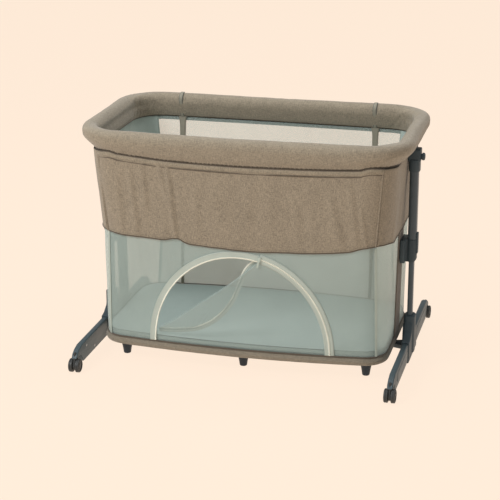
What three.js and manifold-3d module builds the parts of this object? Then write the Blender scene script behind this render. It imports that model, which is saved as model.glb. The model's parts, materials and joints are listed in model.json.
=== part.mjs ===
// Bassinet on a stand: a fabric basket with a padded rim, mesh walls and a zipped arch door.
// Two T-shaped stands on twin-wheel casters carry it, and their posts slide inside the
// basket's own posts to set the height. It is drawn at its lowest setting, where six feet
// under the basket also touch the floor.
// Millimetres. +X along the basket, +Y to the back, +Z up, origin on the floor at the centre.
import * as THREE from 'three';
import { mergeVertices } from 'three/addons/utils/BufferGeometryUtils.js';
import Module from 'manifold-3d';

const wasm = await Module();
wasm.setup();

// ---------- Driving dimensions ----------
const GAP = 0.4;                    // clearance between pieces that touch
const SLIDE_GAP = 0.8;              // clearance between pieces that slide

// An outline seen from above: half sizes at mid-side, corner radius, bulge of the long sides.
const RIM = { halfLength: 457, halfWidth: 258, corner: 110, bow: 4 };
const RIM_HEIGHT = 684;             // rim tube's centre line
const RIM_TUBE_RADIUS = 11;
const FRAME_TUBE_WALL = 1.8;        // rim and base tubes, rolled with an open seam
const FRAME_TUBE_SEAM = 1.5;
// One half of the pad's section, [out, up] from the tube's centre: its outside goes from the
// open lower seam up to the crown. The other half mirrors it.
const PAD_OUTSIDE = [[5.5, -52], [13, -38], [19.5, -22], [23.5, -4], [22.5, 8], [14, 17]];
const PAD_CROWN = 20;
const PAD_SEAM = [[8.5, -20], [2.5, -36], [1.5, -52]];      // its inside below the tube
const PAD_EASE = 2.4;               // room between the pad and the rim tube

const BASE_INSET_LENGTH = 44;       // base tube inside the rim tube, at each end
const BASE_INSET_WIDTH = 22;        // and at each side
const BASE_CORNER = 62;
const BASE_BOW = 22;
const BASE_HEIGHT = 61;             // base tube's centre line
const BASE_TUBE_RADIUS = 9;
const BAND_RADIUS = 14;
const BAND_THICKNESS = 4;
const BAND_SLIT = 9;

const WALL_THICKNESS = 2;           // mesh walls
const WALL_BASE_PROUD = 7;          // wall's foot outside the base tube's centre line
const WALL_HEM_INSET = 1;           // wall inside the rim's centre line at the hem, long sides
const SKIRT_THICKNESS = 2.5;
const SKIRT_CLEARANCE = 1.5;        // between the end skirts and the brackets
const SKIRT_HEIGHT = 238;           // from the hem up to the wall's top
const HEM_CORNER = 104;
const HEM_BOW = 14;
const WALL_TOP_CORNER = 88;
const FRONT_SPLIT = 0.25;           // share of each front corner that belongs to the front panel
const PANEL_GAP = 0.02;             // share of a corner left between neighbouring panels
const STRIP_HALF_WIDTH = 43;        // end strips
const STRIP_THICKNESS = 1.5;
const STRAP_X = 302;                // back straps
const STRAP_WIDTHS = [11, 13, 21];  // at the mattress, the hem's height and the rim
const STRAP_CLEARANCE = 2.5;        // the wall's facets bend between its straps

const DOOR_X = 4;                   // door's middle
const DOOR_HALF_WIDTH = 262;
const DOOR_BELOW_HEM = 28;          // arch's top under the skirt's hem
const DOOR_TAPE_WIDTH = 20;
const DOOR_TAPE_THICKNESS = 1.5;
const DOOR_OPEN_TO = 0.24;          // where the slider stands, as a share of the half width
const DOOR_FOLD_RISE = 26;          // height at which the fold line meets the arch's left foot
const FLAP_SET_BACK = 14;           // how far inside the wall the open flap hangs
const FLAP_CLEARANCE = 4;           // above the mattress

const BOARD_THICKNESS = 12;
const MATTRESS_THICKNESS = 14;
const FOOT_INSET_LENGTH = 52;       // corner feet inside the base tube
const FOOT_INSET_WIDTH = 72;
const FOOT_INSET_MIDDLE = 58;       // middle feet
const FOOT_BOTTOM = 22;
const FOOT_TOP = 34;

const INNER_POST = { width: 15, depth: 25, corner: 5, wall: 1.8 };
const POST_SPACE = 3.2;             // between the inner and the outer post, and 0.5 less in depth
const OUTER_POST_WALL = 1.8;
const OUTER_POST_CORNER = 9;
const POST_OUTSET = 3;              // posts outside the rim tube's end
const OUTER_POST_DROP = 84;         // outer post's top under the rim's centre line
const INNER_POST_DROP = 40;         // inner post's top under the outer post's
const HEIGHT_STEPS = 5;
const HEIGHT_PITCH = 30;

const OUTER_POST_LENGTH = 230;      // from the collar up
const COLLAR_HEIGHT = 67;
const COLLAR_REACH = 30;            // from the post's centre towards the basket
const COLLAR_SKIN = 1.2;            // how far the collar stands outside the outer post
const COLLAR_FLANGE_HALF = 34;
const COLLAR_FLANGE_THICKNESS = 13;
const SPIGOT_LENGTH = 22;
const LATCH_RISE = 50;              // latch pin above the collar's bottom
const LATCH_PIN_RADIUS = 3;
const LATCH_PIN_LENGTH = 8;
const LEVER = { width: 22, thickness: 4.5, rise: 24, height: 62, pocket: 1.6 };

const BRACKET_LAP = 26;             // bracket's socket over the outer post
const BRACKET_SKIN = 3.5;
const BRACKET_SHOULDER = 2;         // socket's end above the outer post
const BRACKET_HEAD_DROP = 44;       // its head's top under the rim's centre line
const NECK_HALF = 9;
const KNOB_RADIUS = 11;
const KNOB_RISE = 16;               // knob's axis above the outer post
const KNOB_REACH = 12;

const LEG = { width: 17, bottom: 14, top: 71, bevel: 2.5 };
const WHEEL_Y = 345;
const WHEEL_RADIUS = 20;
const WHEEL_WIDTH = 12.5;
const CASTER_CORE = 7;              // thickness of the caster body between its wheels
const CASTER_STEM_RADIUS = 4;
const CASTER_STEM_LENGTH = 16;
const AXLE_RADIUS = 2.5;
const NOSE_REACH = 8;               // how far the leg's nose passes the caster's centre
const HUB_HALF_LENGTH = 76;
const HUB_LAP = 46;                 // how far a half leg goes into the hub
const HUB_SKIN = 3;
const HUB_CUP_HEIGHT = 63;          // cup above the hub's back
const HUB_CUP_WALL = 9;
const LEDGE_THICKNESS = 12;         // ledge that the basket's base comes down to
const LEDGE_DEPTH = 40;
const LEDGE_HALF_WIDTH = 26;

// ---------- Values worked out from them ----------
const BASE = {
  halfLength: RIM.halfLength - BASE_INSET_LENGTH,
  halfWidth: RIM.halfWidth - BASE_INSET_WIDTH,
  corner: BASE_CORNER,
  bow: BASE_BOW,
};
const BAND_TOP = BASE_HEIGHT + BAND_RADIUS;
const BAND_BOTTOM = BASE_HEIGHT - BAND_RADIUS;
const PAD_BOTTOM = RIM_HEIGHT + PAD_OUTSIDE[0][1];
const PAD_HOLLOW = RIM_TUBE_RADIUS + PAD_EASE;
const PAD_INSIDE = [[PAD_HOLLOW * 0.87, PAD_HOLLOW * 0.5], [PAD_HOLLOW, -4], ...PAD_SEAM];

const OUTER_POST = {
  width: INNER_POST.width + 2 * (POST_SPACE + OUTER_POST_WALL),
  depth: INNER_POST.depth + 2 * (POST_SPACE - 0.5 + OUTER_POST_WALL),
  corner: OUTER_POST_CORNER,
  wall: OUTER_POST_WALL,
};

const STAND_X = RIM.halfLength + POST_OUTSET;    // plane of each stand's post, legs and casters
const OUTER_POST_TOP = RIM_HEIGHT - OUTER_POST_DROP;
const INNER_POST_TOP = OUTER_POST_TOP - INNER_POST_DROP;
const BRACKET_HEAD_TOP = RIM_HEIGHT - BRACKET_HEAD_DROP;
const BRACKET_WIDTH = OUTER_POST.width + 2 * BRACKET_SKIN;
const BRACKET_HEAD_WIDTH = BRACKET_WIDTH + 3;
const COLLAR_TOP = OUTER_POST_TOP - OUTER_POST_LENGTH;
const COLLAR_BOTTOM = COLLAR_TOP - COLLAR_HEIGHT;
const COLLAR_OUTER = OUTER_POST.width / 2 + COLLAR_SKIN;
const LATCH_HEIGHT = COLLAR_BOTTOM + LATCH_RISE;
const KNOB_HEIGHT = OUTER_POST_TOP + KNOB_RISE;

const WALL_BOTTOM = BAND_TOP + GAP;
const WALL_TOP = PAD_BOTTOM - GAP;
const HEM_HEIGHT = WALL_TOP - SKIRT_HEIGHT;
const DOOR_RISE = HEM_HEIGHT - DOOR_BELOW_HEM - WALL_BOTTOM;   // arch's height
const SKIRT_OUTWARD = GAP + SKIRT_THICKNESS;
const WALL_BASE_OUTLINE = grown(BASE, WALL_BASE_PROUD);
const WALL_TOP_HALF_LENGTH = STAND_X - BRACKET_HEAD_WIDTH / 2 - SKIRT_OUTWARD - SKIRT_CLEARANCE;
const HEM_OUTLINE = {
  halfLength: STAND_X - COLLAR_REACH - SKIRT_OUTWARD - SKIRT_CLEARANCE,
  halfWidth: RIM.halfWidth - WALL_HEM_INSET,
  corner: HEM_CORNER,
  bow: HEM_BOW,
};
const WALL_LEVELS = [
  { z: WALL_BOTTOM, outline: WALL_BASE_OUTLINE },
  { z: HEM_HEIGHT, outline: HEM_OUTLINE },
  { z: WALL_TOP, outline: { ...RIM, halfLength: WALL_TOP_HALF_LENGTH, corner: WALL_TOP_CORNER } },
];
const BOARD_TOP = BAND_TOP;
const BOARD_BOTTOM = BOARD_TOP - BOARD_THICKNESS;
const MATTRESS_BOTTOM = BAND_TOP + 2 * GAP;
const MATTRESS_TOP = MATTRESS_BOTTOM + MATTRESS_THICKNESS;
const CASTER_TOP = 2 * WHEEL_RADIUS + 2.6;
const HUB_BACK = LEG.top + HUB_SKIN;
const HUB_CUP_TOP = HUB_BACK + HUB_CUP_HEIGHT;
const POST_FOOT = HUB_BACK + 6;                 // bottom of the cup's socket

// ---------- Materials ----------
function finish(hex, roughness, metalness = 0) {
  return new THREE.MeshStandardMaterial({ color: hex, roughness, metalness });
}
const brownFabric = finish(0x8f8069, 0.95);
const meshFabric = finish(0xb9c4bd, 0.8);
const paleTape = finish(0xd9ddd2, 0.8);
const matFabric = finish(0xaab3ac, 0.9);
const greyTube = finish(0x3f474b, 0.45, 0.4);
const greyPlastic = finish(0x3a4145, 0.6);
const darkPlastic = finish(0x1d2124, 0.65);
const wheelPlastic = finish(0x2b2f31, 0.55);
const steel = finish(0xa8abad, 0.35, 0.9);
const boardFinish = finish(0x6f665a, 0.85);

// ---------- Solids ----------
function oriented(geometry) {
  const p = geometry.getAttribute('position');
  const index = geometry.getIndex().array;
  const a = new THREE.Vector3();
  const b = new THREE.Vector3();
  const c = new THREE.Vector3();
  let volume = 0;
  for (let i = 0; i < index.length; i += 3) {
    a.fromBufferAttribute(p, index[i]);
    b.fromBufferAttribute(p, index[i + 1]);
    c.fromBufferAttribute(p, index[i + 2]);
    volume += a.dot(b.cross(c));
  }
  if (volume < 0) {
    for (let i = 0; i < index.length; i += 3) {
      [index[i + 1], index[i + 2]] = [index[i + 2], index[i + 1]];
    }
  }
  return geometry;
}

function fromLists(points, triangles) {
  const geometry = new THREE.BufferGeometry();
  geometry.setAttribute('position', new THREE.Float32BufferAttribute(points, 3));
  geometry.setIndex(triangles);
  return oriented(geometry);
}

function welded(geometry) {
  const bare = geometry.clone();
  bare.deleteAttribute('normal');
  bare.deleteAttribute('uv');
  return oriented(mergeVertices(bare, 1e-4));
}

function solid(geometry) {
  const g = welded(geometry);
  const vertProperties = new Float32Array(g.getAttribute('position').array);
  const triVerts = new Uint32Array(g.getIndex().array);
  return new wasm.Manifold(new wasm.Mesh({ numProp: 3, vertProperties, triVerts }));
}

function geometryOf(manifold) {
  const mesh = manifold.getMesh();
  return fromLists(Array.from(mesh.vertProperties), Array.from(mesh.triVerts));
}

function joined(...pieces) {
  return geometryOf(pieces.map(solid).reduce((sum, piece) => sum.add(piece)));
}

function cut(body, ...tools) {
  return geometryOf(tools.map(solid).reduce((rest, tool) => rest.subtract(tool), solid(body)));
}

function common(a, b) {
  return geometryOf(solid(a).intersect(solid(b)));
}

// ---------- Plain shapes ----------
function roundedRectangle(width, depth, corner) {
  const x = width / 2;
  const y = depth / 2;
  const shape = new THREE.Shape();
  shape.moveTo(-x + corner, -y);
  shape.lineTo(x - corner, -y);
  shape.absarc(x - corner, -y + corner, corner, -Math.PI / 2, 0, false);
  shape.lineTo(x, y - corner);
  shape.absarc(x - corner, y - corner, corner, 0, Math.PI / 2, false);
  shape.lineTo(-x + corner, y);
  shape.absarc(-x + corner, y - corner, corner, Math.PI / 2, Math.PI, false);
  shape.lineTo(-x, -y + corner);
  shape.absarc(-x + corner, -y + corner, corner, Math.PI, Math.PI * 1.5, false);
  return shape;
}

// A prism along Z between two heights, with its edges bevelled inside its outline.
function prism(shape, bottom, top, bevel = 0) {
  const geometry = new THREE.ExtrudeGeometry(shape, {
    depth: top - bottom - 2 * bevel,
    curveSegments: 3,
    bevelEnabled: bevel > 0,
    bevelThickness: bevel,
    bevelSize: bevel,
    bevelOffset: -bevel,
    bevelSegments: 1,
  });
  return geometry.translate(0, 0, bottom + bevel);
}

// A slab across X whose side profile is drawn in (y, z).
function sideSlab(shape, width, bevel = 0) {
  const geometry = prism(shape, -width / 2, width / 2, bevel);
  return geometry.applyMatrix4(new THREE.Matrix4().set(
    0, 0, 1, 0,
    1, 0, 0, 0,
    0, 1, 0, 0,
    0, 0, 0, 1,
  ));
}

function block(x0, x1, y0, y1, z0, z1) {
  const geometry = new THREE.BoxGeometry(x1 - x0, y1 - y0, z1 - z0);
  return geometry.translate((x0 + x1) / 2, (y0 + y1) / 2, (z0 + z1) / 2);
}

// A rod along X or Z from one end to the other.
function rod(axis, radius, from, to, segments = 12) {
  const geometry = new THREE.CylinderGeometry(radius, radius, to - from, segments);
  if (axis === 'x') return geometry.rotateZ(-Math.PI / 2).translate((from + to) / 2, 0, 0);
  return geometry.rotateX(Math.PI / 2).translate(0, 0, (from + to) / 2);
}

// A round body about X, from a closed profile of [radius, x] points.
function turnedAboutX(profile, segments) {
  const points = profile.map(([radius, x]) => new THREE.Vector2(radius, x));
  return new THREE.LatheGeometry(points, segments).rotateZ(-Math.PI / 2);
}

function polygon(points) {
  return new THREE.Shape(points.map(([x, y]) => new THREE.Vector2(x, y)));
}

// ---------- Outlines seen from above ----------
function grown(outline, by) {
  return {
    halfLength: outline.halfLength + by,
    halfWidth: outline.halfWidth + by,
    corner: outline.corner + by,
    bow: outline.bow,
  };
}

function mixed(a, b, share) {
  const result = {};
  for (const key of Object.keys(a)) result[key] = a[key] + (b[key] - a[key]) * share;
  return result;
}

// The outline has eight stretches, counted from the front side: side, corner, side, and so on.
// A station is the stretch's number plus how far along it the point lies.
function outlinePoint(outline, station) {
  const stretch = ((Math.floor(station) % 8) + 8) % 8;
  const along = station - Math.floor(station);
  const cx = outline.halfLength - outline.corner;
  const cy = outline.halfWidth - outline.bow - outline.corner;
  if (stretch % 4 === 0) {
    const side = stretch === 0 ? -1 : 1;
    const x = -side * cx * (2 * along - 1);
    const bulge = outline.bow * (1 - (x / cx) ** 2);
    return { x, y: side * (cy + outline.corner + bulge), nx: 0, ny: side };
  }
  if (stretch % 4 === 2) {
    const side = stretch === 2 ? 1 : -1;
    return { x: side * outline.halfLength, y: side * cy * (2 * along - 1), nx: side, ny: 0 };
  }
  const angle = ((stretch - 1) / 2 + along - 1) * Math.PI / 2;
  const nx = Math.cos(angle);
  const ny = Math.sin(angle);
  const qx = stretch < 4 ? 1 : -1;
  const qy = stretch === 3 || stretch === 5 ? 1 : -1;
  return { x: qx * cx + outline.corner * nx, y: qy * cy + outline.corner * ny, nx, ny };
}

const STEPS_PER_STRETCH = [6, 4, 1, 4, 6, 4, 1, 4];

function stations(from, to) {
  const list = [from];
  for (let stretch = Math.floor(from); stretch < to; stretch += 1) {
    const steps = STEPS_PER_STRETCH[((stretch % 8) + 8) % 8];
    for (let k = 0; k < steps; k += 1) {
      const station = stretch + k / steps;
      if (station > from + 1e-6 && station < to - 1e-6) list.push(station);
    }
  }
  return [...list, to];
}

function wallOutline(z) {
  const upper = z > HEM_HEIGHT ? 2 : 1;
  const low = WALL_LEVELS[upper - 1];
  const high = WALL_LEVELS[upper];
  return mixed(low.outline, high.outline, (z - low.z) / (high.z - low.z));
}

function wallPoint(station, z, outward) {
  const p = outlinePoint(wallOutline(z), station);
  return [p.x + p.nx * outward, p.y + p.ny * outward, z];
}

function prismOfOutline(outline, bottom, top) {
  const points = stations(0, 8).slice(0, -1).map((s) => outlinePoint(outline, s));
  return prism(polygon(points.map((p) => [p.x, p.y])), bottom, top);
}

// ---------- Swept and lofted bodies ----------
// A closed ring: a section of [outward, up] points carried round an outline. Further than
// `straight` below the centre line it leans inward at the ends, by `endLean` at its lowest point.
function ring(outline, height, section, endLean = 0, straight = 0) {
  const places = stations(0, 8).slice(0, -1);
  const points = [];
  const triangles = [];
  const count = section.length;
  const depth = Math.max(...section.map(([, up]) => -up));
  for (const station of places) {
    const p = outlinePoint(outline, station);
    for (const [out, up] of section) {
      const below = Math.max(0, -up - straight) / (depth - straight);
      const place = out - endLean * p.nx ** 2 * below;
      points.push(p.x + p.nx * place, p.y + p.ny * place, height + up);
    }
  }
  places.forEach((_, i) => {
    const next = (i + 1) % places.length;
    for (let j = 0; j < count; j += 1) {
      const k = (j + 1) % count;
      const a = i * count + j;
      const b = next * count + j;
      const c = next * count + k;
      const d = i * count + k;
      triangles.push(a, b, c, a, c, d);
    }
  });
  return fromLists(points, triangles);
}

// A round sleeve's section with an open seam, whose middle points along `seamAngle`.
function sleeveSection(radius, thickness, slit, seamAngle, sides) {
  const section = [];
  const outerHalf = Math.asin(slit / 2 / radius);
  const innerRadius = radius - thickness;
  const innerHalf = Math.asin(slit / 2 / innerRadius);
  for (let i = 0; i <= sides; i += 1) {
    const angle = seamAngle + outerHalf + (2 * Math.PI - 2 * outerHalf) * (i / sides);
    section.push([radius * Math.cos(angle), radius * Math.sin(angle)]);
  }
  for (let i = sides; i >= 0; i -= 1) {
    const angle = seamAngle + innerHalf + (2 * Math.PI - 2 * innerHalf) * (i / sides);
    section.push([innerRadius * Math.cos(angle), innerRadius * Math.sin(angle)]);
  }
  return section;
}

// A closed sheet from rows of outer and inner points, rows[level][place] = [outer, inner].
function sheetBody(rows) {
  const points = [];
  const levels = rows.length;
  const places = rows[0].length;
  for (const row of rows) for (const [outer, inner] of row) points.push(...outer, ...inner);
  const at = (level, place, inner) => 2 * (level * places + place) + inner;
  const triangles = [];
  const quad = (a, b, c, d) => triangles.push(a, b, c, a, c, d);
  for (let j = 0; j < levels - 1; j += 1) {
    for (let i = 0; i < places - 1; i += 1) {
      quad(at(j, i, 0), at(j, i + 1, 0), at(j + 1, i + 1, 0), at(j + 1, i, 0));
      quad(at(j, i, 1), at(j + 1, i, 1), at(j + 1, i + 1, 1), at(j, i + 1, 1));
    }
    quad(at(j, 0, 1), at(j, 0, 0), at(j + 1, 0, 0), at(j + 1, 0, 1));
    quad(at(j, places - 1, 0), at(j, places - 1, 1), at(j + 1, places - 1, 1), at(j + 1, places - 1, 0));
  }
  for (let i = 0; i < places - 1; i += 1) {
    quad(at(0, i, 0), at(0, i, 1), at(0, i + 1, 1), at(0, i + 1, 0));
    quad(at(levels - 1, i, 0), at(levels - 1, i + 1, 0), at(levels - 1, i + 1, 1), at(levels - 1, i, 1));
  }
  return fromLists(points, triangles);
}

// A panel that follows the wall; `outward` is its outer face's distance from the wall's outside.
function panel(from, to, bottom, top, outward, thickness) {
  const levels = bottom < HEM_HEIGHT && top > HEM_HEIGHT ? [bottom, HEM_HEIGHT, top] : [bottom, top];
  const places = stations(from, to);
  return sheetBody(levels.map((z) => places.map((station) => [
    wallPoint(station, z, outward),
    wallPoint(station, z, outward - thickness),
  ])));
}

// ---------- Basket: rim and walls ----------
const FRONT = [-FRONT_SPLIT, 1 + FRONT_SPLIT];
const BACK = [4 - FRONT_SPLIT, 5 + FRONT_SPLIT];
const RIGHT_END = [FRONT[1] + PANEL_GAP, BACK[0] - PANEL_GAP];
const LEFT_END = [BACK[1] + PANEL_GAP, 8 + FRONT[0] - PANEL_GAP];

function rimPadding() {
  const mirrored = (points) => points.map(([out, up]) => [-out, up]).reverse();
  const section = [
    ...PAD_OUTSIDE, [0, PAD_CROWN], ...mirrored(PAD_OUTSIDE),
    ...mirrored(PAD_INSIDE), [0, PAD_HOLLOW], ...PAD_INSIDE,
  ];
  const endLean = RIM.halfLength - WALL_TOP_HALF_LENGTH + WALL_THICKNESS;
  const notches = [-1, 1].flatMap((side) => [bracketHead(2 * GAP), bracketNeck(2 * GAP)].map(
    (tool) => tool.rotateZ(side < 0 ? Math.PI : 0).translate(side * STAND_X, 0, 0),
  ));
  return cut(ring(RIM, RIM_HEIGHT, section, endLean, PAD_HOLLOW), ...notches);
}

function archShape(inset) {
  const shape = new THREE.Shape();
  const halfWidth = DOOR_HALF_WIDTH - inset;
  const foot = WALL_BOTTOM - 5;
  shape.moveTo(DOOR_X - halfWidth, foot);
  shape.lineTo(DOOR_X + halfWidth, foot);
  shape.lineTo(DOOR_X + halfWidth, WALL_BOTTOM);
  shape.absellipse(DOOR_X, WALL_BOTTOM, halfWidth, DOOR_RISE - inset, 0, Math.PI, false);
  return shape;
}

function throughFront(shape) {
  const geometry = new THREE.ExtrudeGeometry(shape, { depth: 200, curveSegments: 24, bevelEnabled: false });
  return geometry.rotateX(Math.PI / 2).translate(0, -HEM_OUTLINE.halfWidth + 120, 0);
}

function frontMesh() {
  const whole = panel(...FRONT, WALL_BOTTOM, WALL_TOP, 0, WALL_THICKNESS);
  return cut(whole, throughFront(archShape(0)));
}

// The fold line of the open door: from the slider down to the arch's left foot.
const SLIDER = {
  x: DOOR_X + DOOR_HALF_WIDTH * DOOR_OPEN_TO,
  z: WALL_BOTTOM + DOOR_RISE * Math.sqrt(1 - DOOR_OPEN_TO ** 2),
};
const FOLD_FOOT = {
  x: DOOR_X - DOOR_HALF_WIDTH * Math.sqrt(1 - (DOOR_FOLD_RISE / DOOR_RISE) ** 2),
  z: WALL_BOTTOM + DOOR_FOLD_RISE,
};

function foldFrame() {
  const along = new THREE.Vector2(FOLD_FOOT.x - SLIDER.x, FOLD_FOOT.z - SLIDER.z);
  const length = along.length();
  along.divideScalar(length);
  return { along, length, normal: new THREE.Vector2(along.y, -along.x) };
}

// The zipped part of the door lies in the wall, under the fold line.
function doorPanel() {
  const { along, normal } = foldFrame();
  const reach = 900;
  const start = [SLIDER.x - along.x * reach, SLIDER.z - along.y * reach];
  const end = [SLIDER.x + along.x * reach, SLIDER.z + along.y * reach];
  const above = polygon([
    start,
    end,
    [end[0] + normal.x * reach, end[1] + normal.y * reach],
    [start[0] + normal.x * reach, start[1] + normal.y * reach],
  ]);
  const inset = GAP * 2;
  const lowered = panel(...FRONT, WALL_BOTTOM, HEM_HEIGHT, 0, WALL_THICKNESS);
  const filled = common(lowered, throughFront(archShape(inset)));
  return cut(filled, throughFront(above));
}

// The unzipped part is the arch above the fold line, turned down over it to hang inside.
function doorFlap() {
  const { along, length, normal } = foldFrame();
  const points = [];
  const steps = 14;
  const startAngle = Math.acos(DOOR_OPEN_TO);
  const endAngle = Math.PI - Math.asin(DOOR_FOLD_RISE / DOOR_RISE);
  for (let i = 0; i <= steps; i += 1) {
    const angle = startAngle + (endAngle - startAngle) * (i / steps);
    const dx = DOOR_X + DOOR_HALF_WIDTH * Math.cos(angle) - SLIDER.x;
    const dz = WALL_BOTTOM + DOOR_RISE * Math.sin(angle) - SLIDER.z;
    const u = dx * along.x + dz * along.y;
    const v = Math.abs(dx * normal.x + dz * normal.y);
    const x = SLIDER.x + along.x * u - normal.x * v;
    const z = Math.max(SLIDER.z + along.y * u - normal.y * v, MATTRESS_TOP + FLAP_CLEARANCE);
    if (u > 0.03 * length && u < 0.97 * length) points.push([x, z]);
  }
  const shape = polygon(points);
  const geometry = new THREE.ExtrudeGeometry(shape, { depth: WALL_THICKNESS, bevelEnabled: false });
  const wallInside = -HEM_OUTLINE.halfWidth + HEM_OUTLINE.bow + WALL_THICKNESS;
  return geometry.rotateX(Math.PI / 2).translate(0, wallInside + FLAP_SET_BACK, 0);
}

function doorTape() {
  const outward = GAP + DOOR_TAPE_THICKNESS;
  const lining = panel(...FRONT, WALL_BOTTOM + GAP, HEM_HEIGHT - GAP, outward, DOOR_TAPE_THICKNESS);
  const half = DOOR_TAPE_WIDTH / 2;
  return common(lining, cut(throughFront(archShape(-half)), throughFront(archShape(half))));
}

function doorSlider() {
  const wall = wallPoint(0.5 + SLIDER.x / (2 * (HEM_OUTLINE.halfLength - HEM_OUTLINE.corner)), SLIDER.z, 0);
  const face = wall[1] - 2 * GAP - DOOR_TAPE_THICKNESS;
  const body = prism(roundedRectangle(9, 14, 3), 0, 4);
  const tab = prism(roundedRectangle(5, 24, 2.4), 2.5, 4).translate(0, -14, 0);
  return joined(body, tab).rotateX(Math.PI / 2).rotateY(0.25).translate(SLIDER.x, face, SLIDER.z);
}

// A strap on the inside of the back wall, wider where it meets the rim.
function backStrap(x) {
  const [low, middle, high] = STRAP_WIDTHS;
  const levels = [[MATTRESS_TOP + GAP, low], [HEM_HEIGHT, middle], [WALL_TOP, high]];
  const inside = -WALL_THICKNESS - STRAP_CLEARANCE;
  return sheetBody(levels.map(([z, width]) => {
    const outline = wallOutline(z);
    const cx = outline.halfLength - outline.corner;
    return [x + width / 2, x - width / 2].map((edge) => {
      const station = 4.5 - edge / (2 * cx);
      return [wallPoint(station, z, inside), wallPoint(station, z, inside - 2)];
    });
  }));
}

// A woven strip down the middle of an end wall, from the hem to the base band.
function endStrip(stretch) {
  const levels = [WALL_BOTTOM + GAP, HEM_HEIGHT - GAP];
  return sheetBody(levels.map((z) => {
    const outline = wallOutline(z);
    const cy = outline.halfWidth - outline.bow - outline.corner;
    return [-STRIP_HALF_WIDTH, STRIP_HALF_WIDTH].map((edge) => {
      const station = stretch + 0.5 + edge / (2 * cy);
      return [wallPoint(station, z, GAP + STRIP_THICKNESS), wallPoint(station, z, GAP)];
    });
  }));
}

function frameTube(outline, height, radius) {
  const seamAngle = -Math.PI / 2;
  return ring(outline, height, sleeveSection(radius, FRAME_TUBE_WALL, FRAME_TUBE_SEAM, seamAngle, 7));
}

// ---------- Basket: base ----------
function baseBand() {
  return ring(BASE, BASE_HEIGHT, sleeveSection(BAND_RADIUS, BAND_THICKNESS, BAND_SLIT, Math.PI, 7));
}

function foot() {
  const low = FOOT_BOTTOM / 2;
  const high = FOOT_TOP / 2;
  const top = BOARD_BOTTOM - GAP;
  const flare = 30;
  return turnedFoot([[0, 0], [low - 3, 0], [low, 3], [high - 1, flare], [high, top], [0, top]]);
}

function turnedFoot(profile) {
  const points = profile.map(([radius, z]) => new THREE.Vector2(radius, z));
  return new THREE.LatheGeometry(points, 12).rotateX(Math.PI / 2);
}

// ---------- Basket: posts (drawn for the right-hand side, about the post's centre) ----------
function tube(size, bottom, top) {
  const shape = roundedRectangle(size.width, size.depth, size.corner);
  const inner = size.corner - size.wall;
  shape.holes.push(roundedRectangle(size.width - 2 * size.wall, size.depth - 2 * size.wall, inner));
  return prism(shape, bottom, top);
}

function bore(size, clearance, bottom, top) {
  const width = size.width + 2 * clearance;
  const depth = size.depth + 2 * clearance;
  return prism(roundedRectangle(width, depth, size.corner + clearance), bottom, top);
}

function collar() {
  const sleeveDepth = OUTER_POST.depth + 2 * COLLAR_SKIN;
  const chamferSize = 6;
  const sleeve = prism(
    roundedRectangle(2 * COLLAR_OUTER, sleeveDepth, OUTER_POST.corner + COLLAR_SKIN),
    COLLAR_BOTTOM, COLLAR_TOP, 1,
  );
  const flangeOuter = -COLLAR_REACH + COLLAR_FLANGE_THICKNESS;
  const flange = block(
    -COLLAR_REACH, flangeOuter, -COLLAR_FLANGE_HALF, COLLAR_FLANGE_HALF, COLLAR_BOTTOM, COLLAR_TOP,
  );
  const webHalf = sleeveDepth / 2 - 3;
  const web = block(flangeOuter - 1, 0, -webHalf, webHalf, COLLAR_BOTTOM, COLLAR_TOP);
  const spigotSize = {
    width: OUTER_POST.width - 2 * OUTER_POST.wall,
    depth: OUTER_POST.depth - 2 * OUTER_POST.wall,
    corner: OUTER_POST.corner - OUTER_POST.wall,
  };
  const spigot = bore(spigotSize, -GAP, COLLAR_TOP - 2, COLLAR_TOP + SPIGOT_LENGTH);
  const pinBore = rod('x', LATCH_PIN_RADIUS + GAP, 0, COLLAR_OUTER + 5).translate(0, 0, LATCH_HEIGHT);
  const leverPocket = block(
    COLLAR_OUTER - LEVER.pocket, COLLAR_OUTER + 5,
    -LEVER.width / 2 - 1, LEVER.width / 2 + 1, COLLAR_BOTTOM + LEVER.rise - 1.5, COLLAR_TOP + 5,
  );
  const chamfer = block(0, 40, -60, 60, -40, 0).rotateY(-Math.PI / 4)
    .translate(COLLAR_OUTER - chamferSize, 0, COLLAR_BOTTOM);
  return cut(
    joined(sleeve, flange, web, spigot),
    bore(INNER_POST, SLIDE_GAP, COLLAR_BOTTOM - 5, COLLAR_TOP + SPIGOT_LENGTH + 5),
    pinBore, leverPocket, chamfer,
  );
}

// The lever lies in the collar's outer face and swings out at the top about its lower end.
function releaseLever() {
  const inner = COLLAR_OUTER - LEVER.pocket + GAP;
  const middle = COLLAR_BOTTOM + LEVER.rise + LEVER.height / 2;
  const blade = prism(roundedRectangle(LEVER.height, LEVER.width, 5), 0, LEVER.thickness);
  return blade.rotateY(Math.PI / 2).translate(inner, 0, middle);
}

function latchPin() {
  const tip = INNER_POST.width / 2 + SLIDE_GAP;
  const tail = COLLAR_OUTER - LEVER.pocket;
  return rod('x', LATCH_PIN_RADIUS, tip, Math.min(tail, tip + LATCH_PIN_LENGTH), 12)
    .translate(0, 0, LATCH_HEIGHT);
}

function outerPost() {
  return tube(OUTER_POST, COLLAR_TOP + GAP, OUTER_POST_TOP);
}

// The bracket caps the outer post, and its neck goes up through the pad to the rim tube.
// `margin` grows the head and the neck for the notch that the pad leaves round them.
function bracketHead(margin) {
  const bottom = OUTER_POST_TOP + BRACKET_SHOULDER;
  const height = BRACKET_HEAD_TOP - bottom + 2 * margin;
  const shape = roundedRectangle(OUTER_POST.depth + 2 * margin, height, 6);
  const head = sideSlab(shape, BRACKET_HEAD_WIDTH + 2 * margin, margin > 0 ? 0 : 1.5);
  return head.translate(0, 0, (BRACKET_HEAD_TOP + bottom) / 2);
}

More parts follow.
